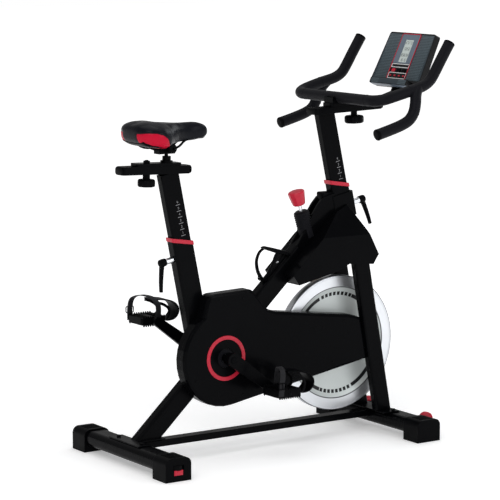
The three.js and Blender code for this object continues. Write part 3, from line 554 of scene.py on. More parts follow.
class BIKE_OT_finishes(bpy.types.Operator):
    """Makes the materials and gives each CAD node its own"""

    bl_idname = "bike.finishes"
    bl_label = "Finishes"

    def execute(self, context):
        look = context.scene.bike_look
        accent, plastic = tuple(look.accent), tuple(look.plastic)
        MATERIALS.update(
            paint=finish("frame_paint", look.paint, look.gloss, shine=0.04, mottle=0.18,
                         waves=0.0003, round_edges=0.0016, flecks=0.04),
            plastic=finish("moulded_plastic", plastic, 0.42, shine=0.035, mottle=0.16, grain=620,
                           depth=0.00012, round_edges=0.0012, flecks=0.05),
            cover=finish("cover_plastic", plastic, 0.22, shine=0.035, mottle=0.12, grain=500,
                         depth=0.00003, waves=0.0004, round_edges=0.0016),
            rubber=finish("foam_rubber", (0.005, 0.005, 0.007), 0.5, shine=0.06, mottle=0.2,
                          grain=420, depth=0.0003, sheen=0.03, spread=0.06),
            accent=finish("accent_plastic", accent, 0.34, coat=0.12, shine=0.3, mottle=0.07,
                          grain=500, depth=0.00003, round_edges=0.001),
            steel=finish("bare_steel", look.metal, 0.28, metal=1.0, mottle=0.06, grain=1600,
                         round_edges=0.0006),
            alloy=finish("turned_alloy", shade(tuple(look.metal), 0.8), 0.36, metal=1.0,
                         mottle=0.08, grain=1300, round_edges=0.0006),
            panel=finish("panel_print", (0.12, 0.15, 0.19), 0.34, shine=0.2, mottle=0.05),
            belt=make_belt((0.014, 0.014, 0.016)),
            felt=finish("brake_felt", (0.12, 0.1, 0.085), 0.9, mottle=0.3, grain=900, depth=0.0005,
                        sheen=0.3),
            flywheel=make_flywheel_metal(tuple(look.metal)),
            vinyl=make_vinyl(tuple(look.vinyl), accent),
            case=finish("console_case", shade(plastic, 1.1), 0.34, shine=0.25, mottle=0.12,
                        grain=620, depth=0.0001, round_edges=0.002),
            face=make_console_face(tuple(look.face)),
            screen=finish("screen_face", (0.5, 0.56, 0.54), 0.16, coat=0.3, mottle=0.04),
            pale=finish("pale_print", (0.72, 0.73, 0.74), 0.4, mottle=0.05),
            dim=finish("dim_print", (0.22, 0.22, 0.23), 0.5, mottle=0.2),
            ink=finish("dark_print", (0.02, 0.022, 0.026), 0.4, mottle=0.1),
            web=finish("strap_web", (0.007, 0.007, 0.009), 0.6, shine=0.2, mottle=0.2, grain=1100,
                       depth=0.0005, sheen=0.04),
        )
        for key, names in FINISHES.items():
            for name in names.split():
                node = NODES[name]
                node.data.materials.clear()
                node.data.materials.append(material(key))
        return {"FINISHED"}


# ---- flywheel ----


class BIKE_OT_flywheel(bpy.types.Operator):
    """Turns the flywheel, with its rim, step and dished web, and one axle nut"""

    bl_idname = "bike.flywheel"
    bl_label = "Flywheel"

    def execute(self, context):
        half = [(9, 17), (30, 17), (33, 15.5), (34, 10), (36, 6.2), (42, 5.2), (100, 5.2),
                (140, 5.4),
                (156, 6.2), (166, 8.4), (173, 11), (176.5, 12.2), (178, 13.6), (180, 14),
                (206.2, 14), (206.6, 13.5), (207.1, 13.5), (207.5, 14), (209.3, 14), (209.7, 13.5),
                (210.2, 13.5), (210.6, 14), (212.6, 13.9), (213.8, 13.2), (214.3, 12)]
        profile = [(r, -h) for r, h in half] + [(r, h) for r, h in reversed(half)]
        profile.append(profile[0])
        bm = bmesh.new()
        lathe(bm, [(r / 1000, h / 1000) for r, h in profile], at(WHEEL[0], 0, WHEEL[1]), (0, 1, 0),
              160)
        bmesh.ops.remove_doubles(bm, verts=bm.verts, dist=1e-7)
        piece("flywheel_disc", bm, material("flywheel"), "flywheel", 28,
              ["flywheel"])

        bm = bmesh.new()
        nut = [(0, 6.4), (6.5, 6.4), (11, 5.6), (12.4, 4.4), (12.4, 0.2), (0, 0.2)]
        centre = at(WHEEL[0], 59.6, WHEEL[1])
        lathe(bm, [(r / 1000, h / 1000) for r, h in nut], centre, (0, 1, 0), 6)
        piece("axle_nut", bm, material("steel"), "frame", 20)
        return {"FINISHED"}


# ---- belt guard and shroud ----


class BIKE_OT_guard(bpy.types.Operator):
    """Adds the guard's ring, seal and screws, and the caps over the crank bolts"""

    bl_idname = "bike.guard"
    bl_label = "Guard trim"

    def execute(self, context):
        sizes = context.scene.bike_sizes
        mean, wide = sizes.ring, sizes.ring_width
        low, high = -0.0002, 0.0016
        profile = [(mean - wide / 2, low), (mean - wide / 2, high - 0.0005),
                   (mean - wide / 2 + 0.0005, high), (mean + wide / 2 - 0.0005, high),
                   (mean + wide / 2, high - 0.0005), (mean + wide / 2, low),
                   (mean - wide / 2, low)]
        bm = bmesh.new()
        lathe(bm, profile, at(0, -66, 299), (0, -1, 0), 120)
        bmesh.ops.remove_doubles(bm, verts=bm.verts, dist=1e-7)
        piece("guard_ring", bm, material("accent"), "frame", 30)

        bm = bmesh.new()
        seal = [(14, 0), (14, 1.2), (29.4, 1.2), (29.4, 0), (14, 0)]
        lathe(bm, [(r / 1000, h / 1000) for r, h in seal], at(0, -63, 299), (0, -1, 0), 60)
        bmesh.ops.remove_doubles(bm, verts=bm.verts, dist=1e-7)
        piece("guard_seal", bm, material("rubber"), "frame", 30)

        bm = bmesh.new()
        head = [(0, 1.1), (2.0, 1.1), (3.6, 0.5), (4.0, -0.3), (0, -0.3)]
        for x, z in ((-108, 240), (-92, 395), (62, 478), (-22, 480), (236, 402), (440, 372),
                     (60, 180), (250, 214), (400, 246)):
            lathe(bm, [(r / 1000, h / 1000) for r, h in head], at(x, -66, z), (0, -1, 0), 20)
        piece("guard_screws", bm, material("paint"), "frame", 30)

        bm = bmesh.new()
        cap = [(0, 3.4), (7, 3.2), (10.5, 2.2), (11.4, 0.6), (11.4, -0.4), (0, -0.4)]
        for _, side in SIDES:
            lathe(bm, [(r / 1000, h / 1000) for r, h in cap], at(0, side * 111.6, 299),
                  (0, side, 0), 40)
        piece("crank_caps", bm, material("plastic"), "crankset", 30)
        return {"FINISHED"}


# ---- saddle ----

SADDLE_HALF = ((-297, 30), (-294, 52), (-284, 73), (-268, 88), (-246, 96), (-226, 96), (-202, 87),
               (-180, 70), (-160, 54), (-138, 40), (-112, 31), (-80, 26), (-50, 22.5), (-34, 17),
               (-26, 11), (-22, 5))


def lerp_table(table, x):
    for (x0, v0), (x1, v1) in zip(table, table[1:]):
        if x <= x1:
            t = max(0.0, (x - x0) / (x1 - x0))
            return v0 + (v1 - v0) * (t * t * (3 - 2 * t) * 0.4 + t * 0.6)
    return table[-1][1]


TOP = ((-297, 1010), (-285, 1021), (-262, 1025), (-230, 1022), (-190, 1016), (-130, 1013),
       (-60, 1013), (-36, 1007), (-22, 993))
BOTTOM = ((-297, 975), (-285, 961), (-262, 951), (-230, 946), (-205, 945), (-180, 952),
          (-160, 960), (-100, 963), (-40, 963), (-22, 974))


def saddle_shell(bm, inset=0.0):
    """The saddle's closed form: full wings behind, a narrow nose, and a low channel on top."""
    rings = []
    count = 44
    for i, x in enumerate([-297 + inset + (275 - 2 * inset) * k / 38 for k in range(39)]):
        wide = max(3.0, lerp_table(SADDLE_HALF, x) - inset)
        top = lerp_table(TOP, x) - inset
        low = lerp_table(BOTTOM, x) + inset
        middle = (top + low) / 2
        ring = []
        for j in range(count):
            a = 2 * math.pi * j / count
            c, s = math.cos(a), math.sin(a)
            power = 0.62 if s > 0 else 0.42
            y = wide * math.copysign(abs(c) ** 0.72, c)
            z = middle + (top - middle) * math.copysign(abs(s) ** power, s)
            if s > 0:
                z -= 3.2 * math.exp(-((y / 15) ** 2)) * max(0.0, 1 - abs(x + 190) / 130)
                z -= 0.06 * max(0.0, abs(y) - 40)
            ring.append(bm.verts.new(at(x, y, z)))
        rings.append(ring)
    for one, two in zip(rings, rings[1:]):
        for j in range(count):
            k = (j + 1) % count
            bm.faces.new((one[j], one[k], two[k], two[j]))
    bm.faces.new(reversed(rings[0]))
    bm.faces.new(rings[-1])


def puff_up(obj, pressure, cap):
    """Fills the cover with cloth under pressure, and holds each point near where it began."""
    scene = bpy.context.scene
    remesh = obj.modifiers.new("remesh", "REMESH")
    remesh.mode = "VOXEL"
    remesh.voxel_size = 0.0048
    bpy.context.view_layer.objects.active = obj
    bpy.ops.object.modifier_apply(modifier=remesh.name)
    rest = [v.co.copy() for v in obj.data.vertices]
    cloth = obj.modifiers.new("cloth", "CLOTH")
    cloth.settings.use_pressure = True
    cloth.settings.uniform_pressure_force = pressure
    cloth.settings.effector_weights.gravity = 0
    cloth.settings.tension_stiffness = 22
    cloth.settings.bending_stiffness = 1.5
    for number in range(1, 17):
        scene.frame_set(number)
    bpy.ops.object.modifier_apply(modifier=cloth.name)
    scene.frame_set(1)
    floor = min(v.z for v in rest)
    for v, start in zip(obj.data.vertices, rest):
        move = v.co - start
        if move.length > cap:
            v.co = start + move.normalized() * cap
        v.co.z = max(v.co.z, floor - 0.001)


class BIKE_OT_saddle(bpy.types.Operator):
    """Makes the padded saddle from puffed cloth, with two colours of vinyl"""

    bl_idname = "bike.saddle"
    bl_label = "Saddle"

    def execute(self, context):
        sizes = context.scene.bike_sizes
        bm = bmesh.new()
        saddle_shell(bm, 1.8)
        cushion = piece("saddle_cover", bm, material("vinyl"), "saddle", 80,
                        ["saddle_cushion"])
        puff_up(cushion, sizes.puff, sizes.swell)
        smooth = cushion.modifiers.new("smooth", "SMOOTH")
        smooth.factor = 0.6
        smooth.iterations = 4
        rounder = cushion.modifiers.new("rounder", "SUBSURF")
        rounder.levels = rounder.render_levels = 1
        bpy.context.view_layer.objects.active = cushion
        for modifier in (smooth.name, rounder.name):
            bpy.ops.object.modifier_apply(modifier=modifier)
        mesh = cushion.data
        trim = mesh.attributes.new("trim", "FLOAT", "POINT")
        seam = mesh.attributes.new("seam", "FLOAT", "POINT")
        for v in mesh.vertices:
            x = v.co.x * 1000 + CRANK_BEHIND
            y, z = abs(v.co.y) * 1000, v.co.z * 1000
            line = seam_height(x)
            inside = min(1.0, max(0.0, (line - z) / 3 + 0.5)) if line else 0.0
            rear = min(1.0, max(0.0, (y - 38) / 4))
            trim.data[v.index].value = inside * rear
            edge = min(abs(z - line) if line and y > 38 else 9, 9)
            seam.data[v.index].value = max(0.0, 1 - edge / 1.6)
            if edge < 4 and v.normal.length:
                v.co -= v.normal * 0.0012 * (1 - edge / 4) ** 2
        mesh.shade_smooth()

        # A moulded pan closes the saddle's underside.
        bm = bmesh.new()
        saddle_shell(bm, 13.0)
        bmesh.ops.translate(bm, vec=(0, 0, -0.0125), verts=bm.verts)
        piece("saddle_pan", bm, material("plastic"), "saddle", 40, ["saddle_base"])
        saddle_hardware()
        return {"FINISHED"}


def seam_height(x):
    """The height of the seam along the saddle's wing, or None ahead of the wing."""
    if x > -204:
        return None
    table = ((-300, 992), (-275, 996), (-255, 995), (-235, 990), (-218, 980), (-204, 960))
    return lerp_table(table, x)


def tilted(origin, lean):
    """A frame leaning nose down by lean degrees, as a function of millimetres to a point."""
    c, s = math.cos(rad(lean)), math.sin(rad(lean))
    return lambda x, y, z: at(origin[0] + x * c + z * s, y, origin[1] - x * s + z * c)


SEAT_RAIL = tilted((-212, 879), 1.8)
BAR_RAIL = tilted((488.5, 1029.4), -1.9)


def lobed_knob(bm, place, x, radius, low, high, lobes=7):
    """A hand knob with a scalloped rim. low and high are heights in the rail's frame."""
    sides = lobes * 12
    tall = high - low
    layers = ((0.0, 0.86), (0.04, 0.93), (0.12, 0.985), (0.3, 1.0), (0.72, 1.0), (0.86, 0.97),
              (0.95, 0.9), (1.0, 0.8))
    rings = []
    for t, k in layers:
        ring = []
        for i in range(sides):
            a = 2 * math.pi * i / sides
            scallop = 1 - 0.09 * (0.5 + 0.5 * math.cos(a * lobes)) ** 2
            r = radius * k * scallop
            ring.append(bm.verts.new(place(x + r * math.cos(a), r * math.sin(a), low + tall * t)))
        rings.append(ring)
    for one, two in zip(rings, rings[1:]):
        for i in range(sides):
            j = (i + 1) % sides
            bm.faces.new((one[i], one[j], two[j], two[i]))
    bm.faces.new(reversed(rings[0]))
    bm.faces.new(rings[-1])


def stud(bm, place, x, radius, low, high, sides=28):
    """A turned stud along the rail's normal."""
    base, tip = place(x, 0, low), place(x, 0, high)
    tall = (tip - base).length
    r = radius / 1000
    lathe(bm, [(0, 0), (r - 0.0004, 0), (r, 0.0004), (r, tall - 0.0004), (r - 0.0004, tall),
               (0, tall)], base, tip - base, sides)


def saddle_hardware():
    bm = bmesh.new()
    lobed_knob(bm, SEAT_RAIL, -25, 26.5, -50, -27)
    stud(bm, SEAT_RAIL, -25, 11, -27.5, -13.1)
    stud(bm, SEAT_RAIL, -25, 5, -14, 30, 20)
    piece("saddle_wheel", bm, material("plastic"), "saddle_knob", 34,
          ["saddle_knob"])
    bm = bmesh.new()
    for x in (-118.6, 118.6):
        outline = rounded(0.0205, 0.0118, 0.009)
        way = math.copysign(1, x)
        slab(bm, outline, lambda u, v, w: SEAT_RAIL(x + way * w * 1000, u * 1000, v * 1000),
             -0.0006, 0.0022, 0.0007)
    piece("seat_rail_caps", bm, material("plastic"), "seat_post", 30)
    bm = bmesh.new()
    for x in (-129.2, 129.2):
        outline = rounded(0.0235, 0.0094, 0.008)
        way = math.copysign(1, x)
        slab(bm, outline, lambda u, v, w: BAR_RAIL(x + way * w * 1000, u * 1000, v * 1000),
             -0.0006, 0.0022, 0.0007)
    piece("bar_rail_caps", bm, material("plastic"), "handlebar_post", 30)
    # Ribbed nuts clamp the saddle's two rails.
    bm = bmesh.new()
    for side in (-1, 1):
        for i in range(6):
            r = 0.0142 if i % 2 == 0 else 0.0126
            y = side * (30.5 + 1.6 * i)
            lathe(bm, [(0.004, -0.0008), (r, -0.0008), (r, 0.0008), (0.004, 0.0008),
                       (0.004, -0.0008)], at(-168, y, 942), (0, 1, 0), 32)
    piece("clamp_nuts", bm, material("plastic"), "saddle", 30)


# ---- handlebar ----

BAR_HALF = ((453.4, 0, 1065.5), (453.4, 90, 1065.5), (453.4, 160, 1065.5), (457, 192, 1066),
            (474, 217, 1070), (505, 228, 1079), (560, 232, 1093), (612, 230, 1106),
            (640, 229, 1121), (658, 229, 1143), (684, 229, 1184), (718, 229, 1236))
DROP = ((592, 232, 1102), (578, 243, 1082), (568, 254, 1058), (560, 257, 1032), (544, 257, 1010),
        (518, 257, 996), (476, 257, 983), (420, 257, 968.5))


class BIKE_OT_handlebar(bpy.types.Operator):
    """Sweeps the foam-covered handlebar, its horns and drops, their end plugs and the knob"""

    bl_idname = "bike.handlebar"
    bl_label = "Handlebar"

    def execute(self, context):
        bm = bmesh.new()
        left = [at(x, y, z) for x, y, z in reversed(BAR_HALF[1:])]
        right = [at(x, -y, z) for x, y, z in BAR_HALF]
        sweep(bm, smooth_path(left + right, 7), circle(0.0174, 28))
        for _, side in SIDES:
            drop = [at(x, side * y, z) for x, y, z in DROP]
            sweep(bm, smooth_path(drop, 8), circle(0.0174, 28))
        piece("bar_foam", bm, material("rubber"), "handlebar", 40, ["handlebar"])

        bm = bmesh.new()
        for _, side in SIDES:
            for table, reach in ((BAR_HALF, 1), (DROP, 1)):
                end, inner = at(*table[-1]), at(*table[-2])
                end.y *= side
                inner.y *= side
                axis = (end - inner).normalized()
                plug = [(0, 0.0036), (0.009, 0.0035), (0.0145, 0.0026), (0.0171, 0.0008),
                        (0.0178, -0.0012), (0.0178, -0.004), (0.0, -0.004)]
                lathe(bm, plug, end, axis, 32)
        piece("bar_plugs", bm, material("plastic"), "handlebar", 30)

        # Seam collars where the foam sleeves meet.
        bm = bmesh.new()
        for _, side in SIDES:
            for i, table in ((2, BAR_HALF), (6, BAR_HALF), (3, DROP)):
                here, there = at(*table[i]), at(*table[i + 1])
                here.y *= side
                there.y *= side
                collar = [(0.0172, -0.002), (0.0179, -0.0016), (0.0181, 0), (0.0179, 0.0016),
                          (0.0172, 0.002)]
                lathe(bm, collar, here, there - here, 32)
        piece("foam_seams", bm, material("rubber"), "handlebar", 50)

        bm = bmesh.new()
        lobed_knob(bm, BAR_RAIL, 34, 30.5, -49, -25)
        stud(bm, BAR_RAIL, 34, 10, -25.5, -10.8)
        stud(bm, BAR_RAIL, 34, 5, -11.5, 17, 20)
        piece("handlebar_wheel", bm, material("plastic"), "handlebar_knob", 34,
              ["handlebar_knob"])

        # Four screws hold the crossbar's two clamp caps in its cradle.
        bm = bmesh.new()
        for y in (-14, 14):
            for x in (-53, -17):
                screw = [(0, 2.6), (3.2, 2.6), (4.2, 1.8), (4.2, -0.4), (0, -0.4)]
                base = BAR_RAIL(x, y, 39.4)
                up = BAR_RAIL(x, y, 50) - base
                lathe(bm, [(r / 1000, h / 1000) for r, h in screw], base, up, 6)
        piece("cradle_screws", bm, material("paint"), "handlebar", 30)
        return {"FINISHED"}


# ---- console ----


def on_face(u, v, w):
    """u to the rider's right, v up the console's face, w out of it, in millimetres."""
    c, s = math.cos(rad(26)), math.sin(rad(26))
    return at(683 + v * s - w * c, -u, 1108 + v * c + w * s)


def face_slab(bm, outline, low, high, bevel=0.0):
    slab(bm, outline, lambda u, v, w: on_face(u * 1000, v * 1000, w * 1000), low, high, bevel)


def frame_ring(bm, outer, inner, low, high):
    """A flat ring between two outlines with the same number of points."""
    rings = []
    for outline, w in ((outer, low), (outer, high), (inner, high), (inner, low)):
        rings.append([bm.verts.new(on_face(u * 1000, v * 1000, w * 1000)) for u, v in outline])
    count = len(outer)
    for k in range(4):
        one, two = rings[k], rings[(k + 1) % 4]
        for i in range(count):
            j = (i + 1) % count
            bm.faces.new((one[i], one[j], two[j], two[i]))


class BIKE_OT_console(bpy.types.Operator):
    """Dresses the console: printed face, bordered panel, screen digits, pad, ledge and lip"""

    bl_idname = "bike.console"
    bl_label = "Console"

    def execute(self, context):
        bm = bmesh.new()
        for sign in (-1, 1):
            inner, outer = 0.0475, (0.1215, 0.1125)
            outline = [(sign * inner, 0.004), (sign * outer[0], 0.004), (sign * outer[1], 0.158),
                       (sign * inner, 0.158)]
            if sign < 0:
                outline.reverse()
            face_slab(bm, outline, -0.0002, 0.0009, 0.0004)
        piece("console_print", bm, material("face"), "handlebar", 30)

        bm = bmesh.new()
        frame_ring(bm, rounded(0.0475, 0.079, 0.007, centre=(0, 0.081)),
                   rounded(0.0452, 0.0767, 0.005, centre=(0, 0.081)), 0.0, 0.0022)
        piece("console_border", bm, material("accent"), "handlebar", 30)

        # The silver panel leaves openings for the screen and the buttons.
        bm = bmesh.new()
        panel = rounded(0.0452, 0.0767, 0.005, centre=(0, 0.081))
        hole = rounded(0.0198, 0.0388, 0.002, centre=(0, 0.101))
        frame_ring(bm, panel_part(panel, 0.0585), hole, -0.0002, 0.0012)
        piece("console_panel", bm, material("panel"), "handlebar", 30)

        bm = bmesh.new()
        frame_ring(bm, rounded(0.0445, 0.0065, 0.003, centre=(0, 0.0505)),
                   rounded(0.0425, 0.0045, 0.0015, centre=(0, 0.0505)), -0.0002, 0.001)
        frame_ring(bm, rounded(0.0445, 0.0105, 0.003, centre=(0, 0.0165)),
                   rounded(0.0425, 0.0085, 0.0015, centre=(0, 0.0165)), -0.0002, 0.001)
        piece("console_bars", bm, material("pale"), "handlebar", 30)

        bm = bmesh.new()
        for row, (v, count) in enumerate(((0.1295, 5), (0.1085, 4), (0.0875, 5), (0.0705, 4))):
            for i in range(count):
                u = (i - (count - 1) / 2) * 0.0072
                digit(bm, u, v, (3 * row + 5 * i + 2) % 10, 0.0021, 0.0045)
        piece("screen_digits", bm, material("ink"), "handlebar", 60)

        bm = bmesh.new()
        for u in (-0.0335, -0.0112, 0.0112, 0.0335):
            face_slab(bm, rounded(0.0042, 0.0024, 0.0012, 3, (u, 0.0165)), -0.0002, 0.0014, 0.0003)
        piece("pad_glyphs", bm, material("accent"), "handlebar", 40)

        # The ledge under the face, with its paler lip.
        bm = bmesh.new()
        lip = rounded(0.0925, 0.0012, 0.0008, 3, (0, -0.0215))
        face_slab(bm, lip, 0.004, 0.0235, 0.0004)
        piece("ledge_lip", bm, material("panel"), "handlebar", 40)
        bm = bmesh.new()
        face_slab(bm, rounded(0.089, 0.0086, 0.004, 4, (0, -0.0118)), 0.0236, 0.0246, 0.0004)
        piece("ledge_pad", bm, material("face"), "handlebar", 40)
        return {"FINISHED"}


def panel_part(outline, low):
    """The outline with its lower side raised to low."""
    return [(u, max(v, low)) for u, v in outline]


SEGMENTS = {0: "abcdef", 1: "bc", 2: "abged", 3: "abgcd", 4: "fgbc", 5: "afgcd", 6: "afgecd",
            7: "abc", 8: "abcdefg", 9: "abcdfg"}


def digit(bm, u, v, number, half, tall):
    """A seven-segment digit on the screen."""
    bars = {"a": (0, tall, 1), "g": (0, 0, 1), "d": (0, -tall, 1), "f": (-half, tall / 2, 0),
            "b": (half, tall / 2, 0), "e": (-half, -tall / 2, 0), "c": (half, -tall / 2, 0)}
    thin = 0.0005
    for key in SEGMENTS[number]:
        du, dv, flat = bars[key]
        hu, hv = (half - thin, thin) if flat else (thin, tall / 2 - thin)
        outline = [(u + du - hu, v + dv - hv), (u + du + hu, v + dv - hv),
                   (u + du + hu, v + dv + hv), (u + du - hu, v + dv + hv)]
        face_slab(bm, outline, 0.0002, 0.0006)


# ---- pedals ----


class BIKE_OT_pedals(bpy.types.Operator):
    """Adds each pedal's teeth, nut, toe clip, strap and buckle"""

    bl_idname = "bike.pedals"
    bl_label = "Pedals"

    def execute(self, context):
        for hand, side in SIDES:
            angle = rad(36.1) if side < 0 else rad(216.1)
            cx, cz = 170 * math.cos(angle), 299 - 170 * math.sin(angle)
            body = "pedal_" + hand

            def here(x, y, z):
                return at(cx + x, side * (166 + y), cz + z)

            # Toothed side plates.
            bm = bmesh.new()
            for y in (-41.2, 41.2):
                outline = []
                for i in range(10):
                    x = -40 + 8 * i
                    outline += [(x, 10.8), (x + 2.6, 16.6), (x + 4.6, 16.6), (x + 7.2, 10.8)]
                outline += [(x, -z) for x, z in reversed(outline)]
                slab(bm, [(u / 1000, v / 1000) for u, v in outline],
                     lambda u, v, w: here(u * 1000, y + w * 1000, v * 1000), -0.0014, 0.0014,
                     0.0004)
            for x in (-34, -20, 20, 34):
                block(bm, here(x, 0, 11.8), (0.0026, 0.078, 0.0028), 0.0006)
            piece("pedal_teeth_" + hand, bm, material("plastic"), body, 30)

            # The toe clip: a broad moulded band round the front, open at both sides.
            bm = bmesh.new()
            path = smooth_path([here(x, 0, z) for x, z in (
                (44, -3), (62, -6), (82, -2), (95, 12), (96, 30), (84, 46), (62, 56), (30, 61),
                (4, 62))], 6)
            count = len(path)
            scales = [1 + 0.22 * math.sin(math.pi * i / (count - 1)) for i in range(count)]
            rings = []
            for i, point in enumerate(path):
                before, after = path[max(0, i - 1)], path[min(count - 1, i + 1)]
                along = (after - before).normalized()
                out = Vector((0, 1, 0)).cross(along).normalized()
                ring = [point + Vector((0, 1, 0)) * u * scales[i] + out * v
                        for u, v in band(0.05, 0.0042, 0.0018)]
                rings.append([bm.verts.new(p) for p in ring])
            n = len(rings[0])
            for one, two in zip(rings, rings[1:]):
                for i in range(n):
                    bm.faces.new((one[i], one[(i + 1) % n], two[(i + 1) % n], two[i]))
            bm.faces.new(reversed(rings[0]))
            bm.faces.new(rings[-1])
            # Side wings join the clip's root to the strap's loop.
            for y in (-33, 33):
                wing = smooth_path([here(x, y + math.copysign(dy, y), z) for x, dy, z in (
                    (46, -8, 0), (58, -1, 14), (56, 3, 32), (38, 4, 46), (14, 3, 55))], 5)
                sweep(bm, wing, band(0.009, 0.0036, 0.0014), up=(0, 1, 0))
            piece("toe_clip_" + hand, bm, material("plastic"), body, 34,
                  ["toe_cage_" + hand])

            # The strap loops over the foot and under the pedal.
            bm = bmesh.new()
            loop = [(-34, 45, -6), (-33, 47.5, 28), (-28, 44, 58), (-18, 26, 71), (-8, 0, 74),
                    (4, -28, 68), (12, -44, 48), (12, -47, 20), (10, -46, -3)]
            path = smooth_path([here(*p) for p in loop], 6)
            rings = []
            for i, point in enumerate(path):
                before, after = path[max(0, i - 1)], path[min(len(path) - 1, i + 1)]
                along = (after - before).normalized()
                out = along.cross(Vector((1, 0, 0))).normalized()
                rings.append([bm.verts.new(point + Vector((1, 0, 0)) * u + out * v)
                              for u, v in band(0.019, 0.0024, 0.001)])
            n = len(rings[0])
            for one, two in zip(rings, rings[1:]):
                for i in range(n):
                    bm.faces.new((one[i], one[(i + 1) % n], two[(i + 1) % n], two[i]))
            bm.faces.new(reversed(rings[0]))
            bm.faces.new(rings[-1])
            piece("toe_strap_" + hand, bm, material("web"), body, 34)

            # The strap's buckle is a steel ring on the pedal's outer side.
            bm = bmesh.new()
            ring = rounded(0.0135, 0.0095, 0.004, 6)
            loop = [here(-32 + u * 1000, 49.6, 26 + v * 1000) for u, v in ring]
            sweep(bm, loop, circle(0.0016, 10), closed=True)
            bar = [here(-32, 49.6, 17), here(-32, 51.0, 26), here(-32, 49.6, 35)]
            sweep(bm, smooth_path(bar, 4), circle(0.0012, 8))
            piece("strap_buckle_" + hand, bm, material("paint"), body, 40)

            bm = bmesh.new()
            nut = [(0, 1.6), (4.6, 1.6), (6.4, 0.8), (6.4, -4), (0, -4)]
            lathe(bm, [(r / 1000, h / 1000) for r, h in nut], here(0, 42.6, 0), (0, side, 0), 24)
            piece("pedal_nut_" + hand, bm, material("paint"), body, 30)
        return {"FINISHED"}


# ---- brake ----

BRAKE = (-math.sin(rad(17)), math.cos(rad(17)))


def brake_point(distance):
    return at(WHEEL[0] + distance * BRAKE[0], 0, WHEEL[1] + distance * BRAKE[1])


class BIKE_OT_brake(bpy.types.Operator):
    """Adds the faceted brake knob and the ribs round its housing"""

    bl_idname = "bike.brake"
    bl_label = "Brake"

    def execute(self, context):
        axis = Vector((BRAKE[0], 0, BRAKE[1]))
        bm = bmesh.new()
        profile = [(0, 0), (18, 0), (20, 2), (22, 10), (26, 34), (27, 40), (25.6, 43.2), (22, 44.6),
                   (10, 45.2), (0, 45.2)]
        lathe(bm, [(r / 1000, h / 1000) for r, h in profile], brake_point(466), axis, 10)
        flat = [f for f in bm.faces if abs(f.normal.dot(axis)) < 0.8]
        bmesh.ops.bevel(bm, geom=list({e for f in flat for e in f.edges
                                       if abs((e.verts[0].co - e.verts[1].co).normalized()
                                              .dot(axis)) > 0.9}),
                        offset=0.0022, segments=3, profile=0.5, affect="EDGES")
        piece("brake_grip", bm, material("accent"), "brake_knob", 24, ["brake_knob"])

        bm = bmesh.new()
        for i in range(7):
            rib = [(23.6, -1.4), (25.0, -1.0), (25.4, 0), (25.0, 1.0), (23.6, 1.4)]
            base = brake_point(392 + 7 * i)
            lathe(bm, [(r / 1000, h / 1000) for r, h in rib], base, axis, 48)
        collar = [(7, 441.2), (20, 441.2), (21, 442.4), (19, 444.6), (9, 445), (7, 445), (7, 441.2)]
        lathe(bm, [(r / 1000, (h - 441) / 1000) for r, h in collar], brake_point(441), axis, 48)
        piece("brake_ribs", bm, material("rubber"), "frame", 50)
        return {"FINISHED"}


# ---- feet and wheels ----


class BIKE_OT_feet(bpy.types.Operator):
    """Adds ribs and red windows to the feet, and turns the transport wheels"""

    bl_idname = "bike.feet"
    bl_label = "Feet and wheels"

    def execute(self, context):
        bm = bmesh.new()
        for hand, side in SIDES:
            for where in ("rear", "front"):
                low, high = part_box("foot_" + where + "_" + hand)
                middle = (low + high) / 2
                for i in range(5):
                    y = middle.y + side * (-0.018 + 0.0095 * i)
                    block(bm, Vector((middle.x, y, high.z + 0.0003)), (0.05, 0.0034, 0.0022),
                          0.0008)
        piece("foot_ribs", bm, material("plastic"), "frame", 30)

        bm = bmesh.new()
        for hand, side in SIDES:
            low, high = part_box("foot_rear_" + hand)
            outer = high.y if side > 0 else low.y
            block(bm, Vector(((low.x + high.x) / 2, outer + side * 0.0002, 0.026)),
                  (0.03, 0.0018, 0.015), 0.0006)
        piece("foot_windows", bm, material("accent"), "frame", 30)

        for hand, side in SIDES:
            base = at(702, side * 150, 40)
            bm = bmesh.new()
            half = [(4.2, 8.2), (9, 8.2), (9.6, 6.2), (14, 5.2), (18.4, 6.4), (19.4, 8.6),
                    (22.4, 8.8), (23.7, 7.6), (24.1, 5)]
            profile = [(r, -h) for r, h in half] + [(r, h) for r, h in reversed(half)]
            profile.append(profile[0])
            lathe(bm, [(r / 1000, h / 1000) for r, h in profile], base, (0, 1, 0), 64)
            bmesh.ops.remove_doubles(bm, verts=bm.verts, dist=1e-7)
            name = "transport_wheel_" + hand
            piece("roller_" + hand, bm, material("accent"), name, 34, [name])
        bm = bmesh.new()
        for hand, side in SIDES:
            for way in (-1, 1):
                bolt = [(0, 3.6), (4.4, 3.6), (5.6, 2.8), (5.6, -0.5), (0, -0.5)]
                base = at(702, side * 150 + way * 14.6, 40)
                lathe(bm, [(r / 1000, h / 1000) for r, h in bolt], base, (0, way, 0), 6)
        piece("roller_bolts", bm, material("steel"), "frame", 30)
        return {"FINISHED"}


# ---- posts ----


